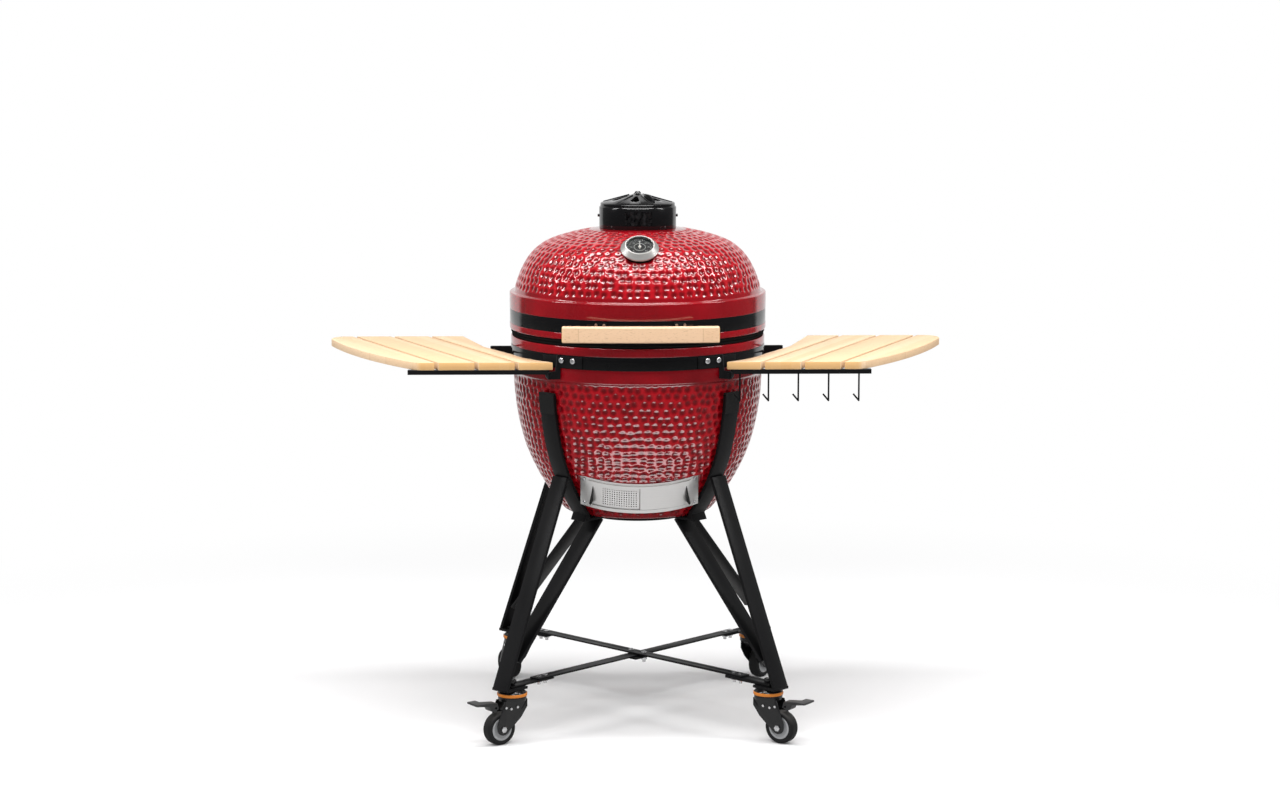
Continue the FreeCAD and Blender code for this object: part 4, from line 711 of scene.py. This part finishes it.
def makeBowl(look):
    lower = arcTo(look["foot"], look["waist"], look["lowerArc"], 1, int(190 / look["step"]))
    upper = arcTo(look["waist"], look["shoulder"], look["upperArc"], 1, int(178 / look["step"]))
    skin = [look["foot"]] + lower + upper
    rim, groove = look["rim"], look["rim"] - look["groove"]
    crown = softLine([
        skin[-1], (rim + 0.6, 836), (rim, look["bandLow"]), (groove, look["bandLow"] + 0.6),
        (groove, look["bandHigh"] - 0.6), (rim + 1.2, look["bandHigh"]), (rim + 1.2, look["top"]),
        (rim - look["wall"], look["top"]), (295 - look["wall"], 835)], 3.0)
    wall, (radius, low) = look["wall"], look["foot"]
    inner = arcTo((295 - wall, 835), (267 - wall, 659), look["upperArc"] - wall, -1, 8)
    inner += arcTo(inner[-1], (165, low + look["floor"]), look["lowerArc"] - wall, -1, 8)
    foot = softLine([(0, low), (radius - 1, low), (radius, low + 1.2), skin[1]], 1.0)[:-1]
    piece = drawProfile("dimpledBowl", foot + skin[1:] + crown[1:] + inner + [(0, low + look["floor"])])
    spinRound(piece, look["columns"])
    pressDimples(piece, look, skin[3:])
    cutAway(piece, doorSector("doorway", *doorway))
    cutAway(piece, doorSector("doorRecess", door["radius"] - door["sunk"], door["radius"] + 40, 81, 83))
    smooth(piece, 50)
    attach(piece, "base")
    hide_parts("base_bowl")
    dress(piece, "redGlaze")
    boss = doorSector("doorBoss", 190, door["radius"] - door["sunk"], 70, 76)
    cutAway(boss, doorSector("bossOpening", *doorway))
    smooth(boss)
    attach(boss, "base")
    dress(boss, "redGlaze")
    print("bowl", len(piece.data.polygons), "faces")


dome = {
    "rimRadius": 304, "rimBottom": 934, "rimTop": 1021, "bandLow": 949, "bandHigh": 982, "groove": 3.5,
    "start": (293, 1021), "shoulder": (264, 1095), "crown": (202, 1145), "chimney": (60, 1172), "wall": 22,
    "lowArc": 223, "midArc": 121.7, "topArc": 460, "smoothFrom": 108, "cell": 20.0, "dent": 0.47,
    "depth": 2.6, "margin": 7.0, "seed": 9, "columns": 588, "step": 3.0,
}


def makeDome(look):
    low = arcTo(look["start"], look["shoulder"], look["lowArc"], 1, int(80 / look["step"]))
    mid = arcTo(low[-1], look["crown"], look["midArc"], 1, int(80 / look["step"]))
    top = arcTo(mid[-1], look["chimney"], look["topArc"], 1, int(145 / look["step"]))
    skin = [look["start"]] + low + mid + top
    wall, rim, groove = look["wall"], look["rimRadius"], look["rimRadius"] - look["groove"]
    edge = softLine([
        (rim - wall, look["rimBottom"] + 3), (rim - wall, look["rimBottom"]), (rim, look["rimBottom"]),
        (rim, look["bandLow"]), (groove, look["bandLow"] + 0.6), (groove, look["bandHigh"] - 0.6),
        (rim, look["bandHigh"]), (rim, look["rimTop"]), (look["start"][0] + 0.4, look["rimTop"]),
        skin[2]], 3.5)[:-1]
    (startX, _), (shoulderX, shoulderZ), (crownX, crownZ) = look["start"], look["shoulder"], look["crown"]
    inner = [(look["chimney"][0], look["chimney"][1] - wall)]
    inner += arcTo(inner[-1], (crownX - 7.5, crownZ - 20.7), look["topArc"] - wall, -1, 8)
    inner += arcTo(inner[-1], (shoulderX - 18.7, shoulderZ - 11.7), look["midArc"] - wall, -1, 6)
    inner += arcTo(inner[-1], (startX - wall, look["rimTop"]), look["lowArc"] - wall, -1, 6)
    piece = drawProfile("dimpledDome", edge + skin[2:] + inner + [edge[0]])
    spinRound(piece, look["columns"])
    pressDimples(piece, look, [spot for spot in skin[2:] if spot[0] > look["smoothFrom"]])
    smooth(piece, 50)
    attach(piece, "lid")
    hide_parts("dome_lid")
    dress(piece, "redGlaze")
    print("dome", len(piece.data.polygons), "faces")


makeBowl(bowl)
makeDome(dome)

gaskets = {  # node: name, body, inner and outer radius, low and high
    "base_gasket": ("feltBelow", "base", 277, 299, 918, 926),
    "lid_gasket": ("feltAbove", "lid", 283, 301, 926, 934),
}


def makeGaskets(wanted):  # a pressed cord of felt: flat where it lies, its sides rounded and a little uneven
    dice = np.random.default_rng(3)
    for node, (name, body, inner, outer, low, high) in wanted.items():
        piece = drawProfile(name, softLine([(inner + 4, low), (outer, low), (outer, high), (inner, high),
                                            (inner, low), (inner + 4, low)], 3.0))
        spinRound(piece, 240)
        middle = (inner + outer) / 2 * mm
        for vertex in piece.data.vertices:
            if low + 0.5 < vertex.co.z / mm < high - 0.5:
                flat = Vector((vertex.co.x, vertex.co.y, 0)).normalized()
                side = 1 if flat.dot(vertex.co) > middle else -1
                vertex.co -= flat * dice.uniform(0, 0.35) * mm * side
        smooth(piece, 60)
        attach(piece, body)
        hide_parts(node)
        dress(piece, "gasketFelt")


makeGaskets(gaskets)
print("ceramic and felt made")


# steel and bamboo that keep the frame's shape, with rounded edges

edges = {  # node: rounding in mm, finish
    "base_band": (0.5, "ventEnamel"), "lid_band": (0.5, "ventEnamel"), "lid_handle": (2.5, "handleBamboo"),
    "handle_brackets": (0.6, "blackSteel"), "vent_collar": (0.8, "ventEnamel"),
    "vent_cap": (0.6, "ventEnamel"), "vent_pin": (0.5, "ventEnamel"),
    "hinge_base_bracket": (0.8, "blackSteel"), "hinge_lid_bracket": (0.8, "blackSteel"),
    "right_shelf_boards": (1.6, "rightBamboo"),
    "left_shelf_boards": (1.6, "leftBamboo"), "right_shelf_arms": (0.6, "blackSteel"),
    "left_shelf_arms": (0.6, "blackSteel"), "shelf_brackets": (0.6, "blackSteel"),
    "cradle_plate": (0.6, "blackSteel"), "cross_brace": (0.5, "blackSteel"),
    "brace_straps": (0.5, "blackSteel"), "caster_tops": (0.6, "casterEnamel"),
    "caster_seals": (0.8, "orangeSeal"),
}
for corner in ("front_left", "front_right", "rear_left", "rear_right"):
    edges["leg_frame_" + corner] = (0.9, "blackSteel")
    edges["caster_fork_" + corner] = (0.5, "casterEnamel")
    edges["caster_tyre_" + corner] = (0.6, "tyreRubber")
    edges["caster_hub_" + corner] = (0.5, "hubPlastic")
for corner in ("front_left", "front_right"):
    edges["brake_pedal_" + corner] = (0.8, "pedalPlastic")

for node, (width, finish) in edges.items():
    dress(edgedCopy(node, width), finish)
for node in ("left_shelf_boards", "right_shelf_boards"):
    bpy.data.objects[node + "_edged"].visible_glossy = False
print("edges rounded")


def twoTone(piece, finish, isOther):  # the faces that isOther picks get a second finish
    piece.data.materials.append(paint[finish])
    for face in piece.data.polygons:
        if isOther(piece.matrix_world @ face.center / mm, face.normal):
            face.material_index = 1


castor = {"reach": 297, "cheek": 18.5, "below": 95,  # mm from the centre, the fork's middle and the floor
          "yaw": {"front_left": 216.0, "front_right": -36.0, "rear_left": 123.5, "rear_right": 56.5}}


def brightenBolts(corner, look):  # the rivets and the axle stand out past the fork's cheeks
    sideways = around(look["yaw"][corner]) @ Vector((0, 1, 0))
    centre = Vector((1 if "right" in corner else -1, -1 if "front" in corner else 1, 0)) * look["reach"]
    twoTone(bpy.data.objects["caster_fork_" + corner + "_edged"], "boltSteel",
            lambda spot, normal: abs((spot - centre).dot(sideways)) > look["cheek"]
            and spot.z < look["below"])


for corner in castor["yaw"]:
    brightenBolts(corner, castor)


def bareInside(name, middle, within):  # the glaze stops at the rims, and the inside is bare fired clay
    twoTone(bpy.data.objects[name], "fireClay", lambda spot, normal: math.hypot(spot.x, spot.y) < within
            and normal.dot(spot - Vector((0, 0, middle))) < 0)


bareInside("dimpledBowl", 900, 280)
bareInside("dimpledDome", 940, 285)

kept = {
    "fire_box": "fireClay", "fire_ring": "fireClay", "charcoal_grate": "grateIron",
    "cooking_grate": "grateSteel", "gauge_seat": "gasketFelt", "gauge_case": "bezelSteel",
    "gauge_dial": "dialPaint", "gauge_needle": "needlePaint", "gauge_glass": "gaugeGlass",
    "vent_seat": "grateIron", "hinge_pin": "boltSteel", "door_frame": "doorSteel", "solid_door": "doorSteel",
    "mesh_door": "doorSteel", "tool_hooks": "blackSteel", "cradle_pads": "gasketFelt",
    "handle_bolts": "boltSteel", "frame_bolts": "boltSteel",
}
for node, finish in kept.items():
    dress(nodes[node], finish)
shelfPins = (840, 860)  # heights between which the bolts are the shelves' black pins
twoTone(nodes["frame_bolts"], "blackSteel", lambda spot, normal: shelfPins[0] < spot.z < shelfPins[1])
tabsFrom = door["radius"] + 4.4
for node in ("solid_door", "mesh_door"):  # the finger tabs stand out past the leaves; their black paint is a painted dark reflection on steel tabs
    twoTone(nodes[node], "blackSteel",
            lambda spot, normal: (spot - Vector(doorAxis)).cross(doorTurn.col[2]).length > tabsFrom)
print("frame's own pieces dressed")


# small parts that the frame leaves plain

def block(name, size, spot, soft=0.0, turn=0.0):  # a bar of steel: size and place in mm, turned about Z
    deselectAll()
    bpy.ops.mesh.primitive_cube_add(size=1.0, location=metres(spot),
                                    rotation=(0, 0, math.radians(turn)), scale=metres(size))
    piece = bpy.context.object
    piece.name = name
    settle(piece)
    if soft:
        applied(piece, "BEVEL", width=soft * mm, segments=2)
    return piece


def rod(name, radius, tall, soft):  # a short turned bar standing on the floor's centre
    deselectAll()
    bpy.ops.mesh.primitive_cylinder_add(vertices=24, radius=radius * mm, depth=tall * mm,
                                        location=(0, 0, tall / 2 * mm))
    piece = bpy.context.object
    piece.name = name
    settle(piece)
    bpy.ops.object.mode_set(mode="EDIT")
    bpy.ops.mesh.select_mode(type="EDGE")
    bpy.ops.mesh.select_all(action="DESELECT")
    leaveEdit()
    for edge in piece.data.edges:
        edge.select = all(piece.data.vertices[corner].co.z > (tall - 0.01) * mm for corner in edge.vertices)
    bpy.ops.object.mode_set(mode="EDIT")
    bpy.ops.mesh.bevel(offset=soft * mm, segments=4)
    leaveEdit()
    return piece


def joined(name, parts):
    deselectAll()
    for part in parts:
        part.select_set(True)
    bpy.context.view_layer.objects.active = parts[0]
    bpy.ops.object.join()
    piece = bpy.context.object
    piece.name = name
    settle(piece)
    return piece


def copied(piece, name, spot, turn):  # a copy with its own mesh, set at a place in mm with a turn
    twin = piece.copy()
    twin.data = piece.data.copy()
    twin.name = name
    bpy.context.scene.collection.objects.link(twin)
    twin.matrix_world = Matrix.Translation(metres(spot)) @ turn.to_4x4()
    settle(twin)
    return twin


def scattered(name, piece, places):  # copies of a small part at each spot and turn, joined
    parts = [copied(piece, f"{name}{number}", spot, turn) for number, (spot, turn) in enumerate(places)]
    bpy.data.objects.remove(piece)
    whole = joined(name, parts)
    smooth(whole)
    return whole


outwards = Matrix.Rotation(math.radians(90), 3, "X")  # turns a part that stands up so that it looks to -Y

dial = {"tilt": 33.0, "centre": (0, -222.0, 1136.4), "height": 9.3, "sweep": 270.0,
        "ticks": 28, "tickAt": 25.6, "long": (0.9, 3.6), "short": (0.5, 2.2), "ring": 13.0,
        "numbers": ("50", "100", "150", "200", "250", "300", "350"), "numberAt": 20.4, "numberTall": 4.2}


def makeDial(look):  # ticks, numbers and a ring printed on the dial
    parts = []
    for tick in range(look["ticks"]):
        width, length = look["short"] if tick % 4 else look["long"]
        turn = around(-look["sweep"] / 2 + tick * look["sweep"] / (look["ticks"] - 1))
        mark = block("tick", (width, length, 0.25), (0, 0, 0))
        spot = turn @ Vector((0, look["tickAt"] + (look["long"][1] - length) / 2, look["height"]))
        parts.append(copied(mark, f"tick{tick}", spot, turn))
        bpy.data.objects.remove(mark)
    for place, words in enumerate(look["numbers"]):
        turn = math.radians(look["sweep"] / 2 - place * look["sweep"] / (len(look["numbers"]) - 1))
        deselectAll()
        bpy.ops.object.text_add(location=(-math.sin(turn) * look["numberAt"] * mm,
                                          math.cos(turn) * look["numberAt"] * mm, look["height"] * mm))
        label = bpy.context.object
        label.data.body = words
        label.data.size = look["numberTall"] * mm
        label.data.align_x, label.data.align_y = "CENTER", "CENTER"
        label.data.extrude = 0.06 * mm
        bpy.ops.object.convert(target="MESH")
        settle(label)
        parts.append(label)
    deselectAll()
    bpy.ops.mesh.primitive_torus_add(major_radius=look["ring"] * mm, minor_radius=0.45 * mm,
                                     major_segments=64, minor_segments=6,
                                     location=(0, 0, look["height"] * mm))
    parts.append(bpy.context.object)
    piece = joined("dialMarks", parts)
    tilt = Matrix.Rotation(math.radians(look["tilt"]), 4, "X")
    piece.matrix_world = Matrix.Translation(metres(look["centre"])) @ tilt
    settle(piece)
    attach(piece, "lid")
    dress(piece, "markPaint")


makeDial(dial)

vent = {"radius": 91.0, "plateLow": 1181.0, "plateHigh": 1214.0, "plateTurn": 42.0, "proud": 1.3,
        "screwZ": 1199.0, "ribIn": 20.0, "ribOut": 82.0, "ribDrop": 17.0, "ribZ": 1239.4, "ribs": 6,
        "firstRib": 292.0}


def makeVentTrim(look):  # the framed blank plate in front, a screw each side, and the cap's ribs
    plate = sector("ventPlate", look["radius"] - 0.5, look["radius"] + look["proud"], look["plateLow"],
                   look["plateHigh"], look["plateTurn"], 20)
    for face in plate.data.polygons:
        middle = math.hypot(face.center.x, face.center.y) / mm
        face.select = middle > look["radius"] + look["proud"] - 0.2 and abs(face.normal.z) < 0.1
    bpy.ops.object.mode_set(mode="EDIT")
    bpy.ops.mesh.select_mode(type="FACE")
    bpy.ops.mesh.inset(thickness=2.6 * mm, depth=-0.9 * mm)
    leaveEdit()
    applied(plate, "BEVEL", width=0.35 * mm, segments=2, limit_method="ANGLE", angle_limit=math.radians(40))
    smooth(plate)
    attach(plate, "lid")
    dress(plate, "ventEnamel")
    places = [(around(side) @ Vector((0, -look["radius"] + 0.5, look["screwZ"])), around(side) @ outwards)
              for side in (-90, 90)]
    screws = scattered("ventScrews", rod("screw", 3.4, 4.5, 1.4), places)
    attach(screws, "lid")
    dress(screws, "ventEnamel")
    ribs = []
    run, drop = look["ribOut"] - look["ribIn"], look["ribDrop"]
    middle = (look["ribIn"] + look["ribOut"]) / 2
    for number in range(look["ribs"]):
        turn = math.radians(look["firstRib"] + number * 60)
        rib = block(f"rib{number}", (math.hypot(run, drop), 2.6, 3.0), (0, 0, 0), 0.8)
        rib.matrix_world = (Matrix.Rotation(turn, 4, "Z")
                            @ Matrix.Translation((middle * mm, 0, look["ribZ"] * mm))
                            @ Matrix.Rotation(math.atan2(drop, run), 4, "Y"))
        settle(rib)
        ribs.append(rib)
    piece = joined("capRibs", ribs)
    smooth(piece)
    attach(piece, "vent_cap")
    dress(piece, "ventEnamel")


makeVentTrim(vent)

bandHead = {"radius": 6.7, "tall": 4.6, "soft": 2.4, "cross": (7.0, 1.5, 1.6),
            "turns": (-36.0, -30.2, 30.2, 36.0), "out": 306.2, "height": 886.0}
doorHead = {"radius": 4.7, "tall": 2.2, "soft": 1.0, "cross": (5.0, 1.1, 0.9), "turn": 37.0, "lift": 31.0}


def makeCrossHead(look):  # a domed screw head with a cross pressed into it
    head = rod("crossHead", look["radius"], look["tall"], look["soft"])
    long, wide, deep = look["cross"]
    for turn in (0, 90):
        cutAway(head, block("slot", (long, wide, deep * 2), (0, 0, look["tall"]), 0, turn))
    smooth(head)
    return head


def makeBandScrews():
    spot = Vector((0, -bandHead["out"], bandHead["height"]))
    places = [(around(turn) @ spot, around(turn) @ outwards @ around(turn * 3)) for turn in bandHead["turns"]]
    bandScrews = scattered("bandScrews", makeCrossHead(bandHead), places)
    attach(bandScrews, "base")
    dress(bandScrews, "boltSteel")
    places = []
    for turn in (-doorHead["turn"], doorHead["turn"]):
        for lift in (-doorHead["lift"], doorHead["lift"]):
            spot = around(turn) @ Vector((0, -door["radius"] - 0.4, 0)) + Vector((0, 0, lift))
            places.append((doorTurn @ spot + Vector(doorAxis), doorTurn @ around(turn) @ outwards))
    doorScrews = scattered("doorScrews", makeCrossHead(doorHead), places)
    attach(doorScrews, "base")
    dress(doorScrews, "boltSteel")


makeBandScrews()

spring = {"wire": 1.5, "radius": 7.5, "turns": 11, "low": 834.0, "high": 918.0, "x": 34.0, "y": 356.0}


def makeSprings(look):  # two coils of wire behind the hinge
    parts = []
    for side in (-1, 1):
        deselectAll()
        bpy.ops.mesh.primitive_circle_add(vertices=8, radius=look["wire"] * mm,
                                          location=(look["radius"] * mm, 0, 0),
                                          rotation=(math.radians(90), 0, 0))
        coil = bpy.context.object
        settle(coil)
        pitch = (look["high"] - look["low"] - 2 * look["wire"]) / look["turns"]
        applied(coil, "SCREW", steps=20, render_steps=20, screw_offset=pitch * mm, iterations=look["turns"])
        closeEnds(coil, bpy.ops.mesh.fill_holes, sides=8)
        coil.location = (side * look["x"] * mm, look["y"] * mm, (look["low"] + look["wire"]) * mm)
        settle(coil)
        parts.append(coil)
    piece = joined("hingeCoils", parts)
    smooth(piece, 60)
    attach(piece, "base")
    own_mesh(piece)
    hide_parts("hinge_springs")
    dress(piece, "springSteel")


makeSprings(spring)

pad = {"waist": (277.4, 652.2), "top": (305.0, 803.4), "arc": 603.6, "from": 757.0, "thick": 3.0,
       "over": 3.0, "under": 7.8, "degrees": 8.9, "soft": 1.4}


def makeArmPads(look):  # a thick rubber shoe over the top of each arm
    skin = [spot for spot in arcTo(look["waist"], look["top"], look["arc"], 1, 30) if spot[1] > look["from"]]
    outer = [(radius + look["thick"], height) for radius, height in skin[:-1]]
    radius, height = skin[-1]
    back, top = radius - look["under"], height + look["over"]
    cap = [(radius + look["thick"], top), (back, top), (back, height + 0.1)]
    parts = []
    for turn in (-135, -45, 45, 135):
        piece = partTurn(f"pad{turn}", outer + cap + skin[::-1], look["degrees"], 8)
        applied(piece, "BEVEL", width=look["soft"] * mm, segments=3, limit_method="ANGLE",
                angle_limit=math.radians(40), use_clamp_overlap=True)
        piece.rotation_euler.z = math.radians(turn)
        settle(piece)
        parts.append(piece)
    whole = joined("armPads", parts)
    smooth(whole, 45)
    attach(whole, "base")
    dress(whole, "padRubber")


makeArmPads(pad)
print("small parts made")
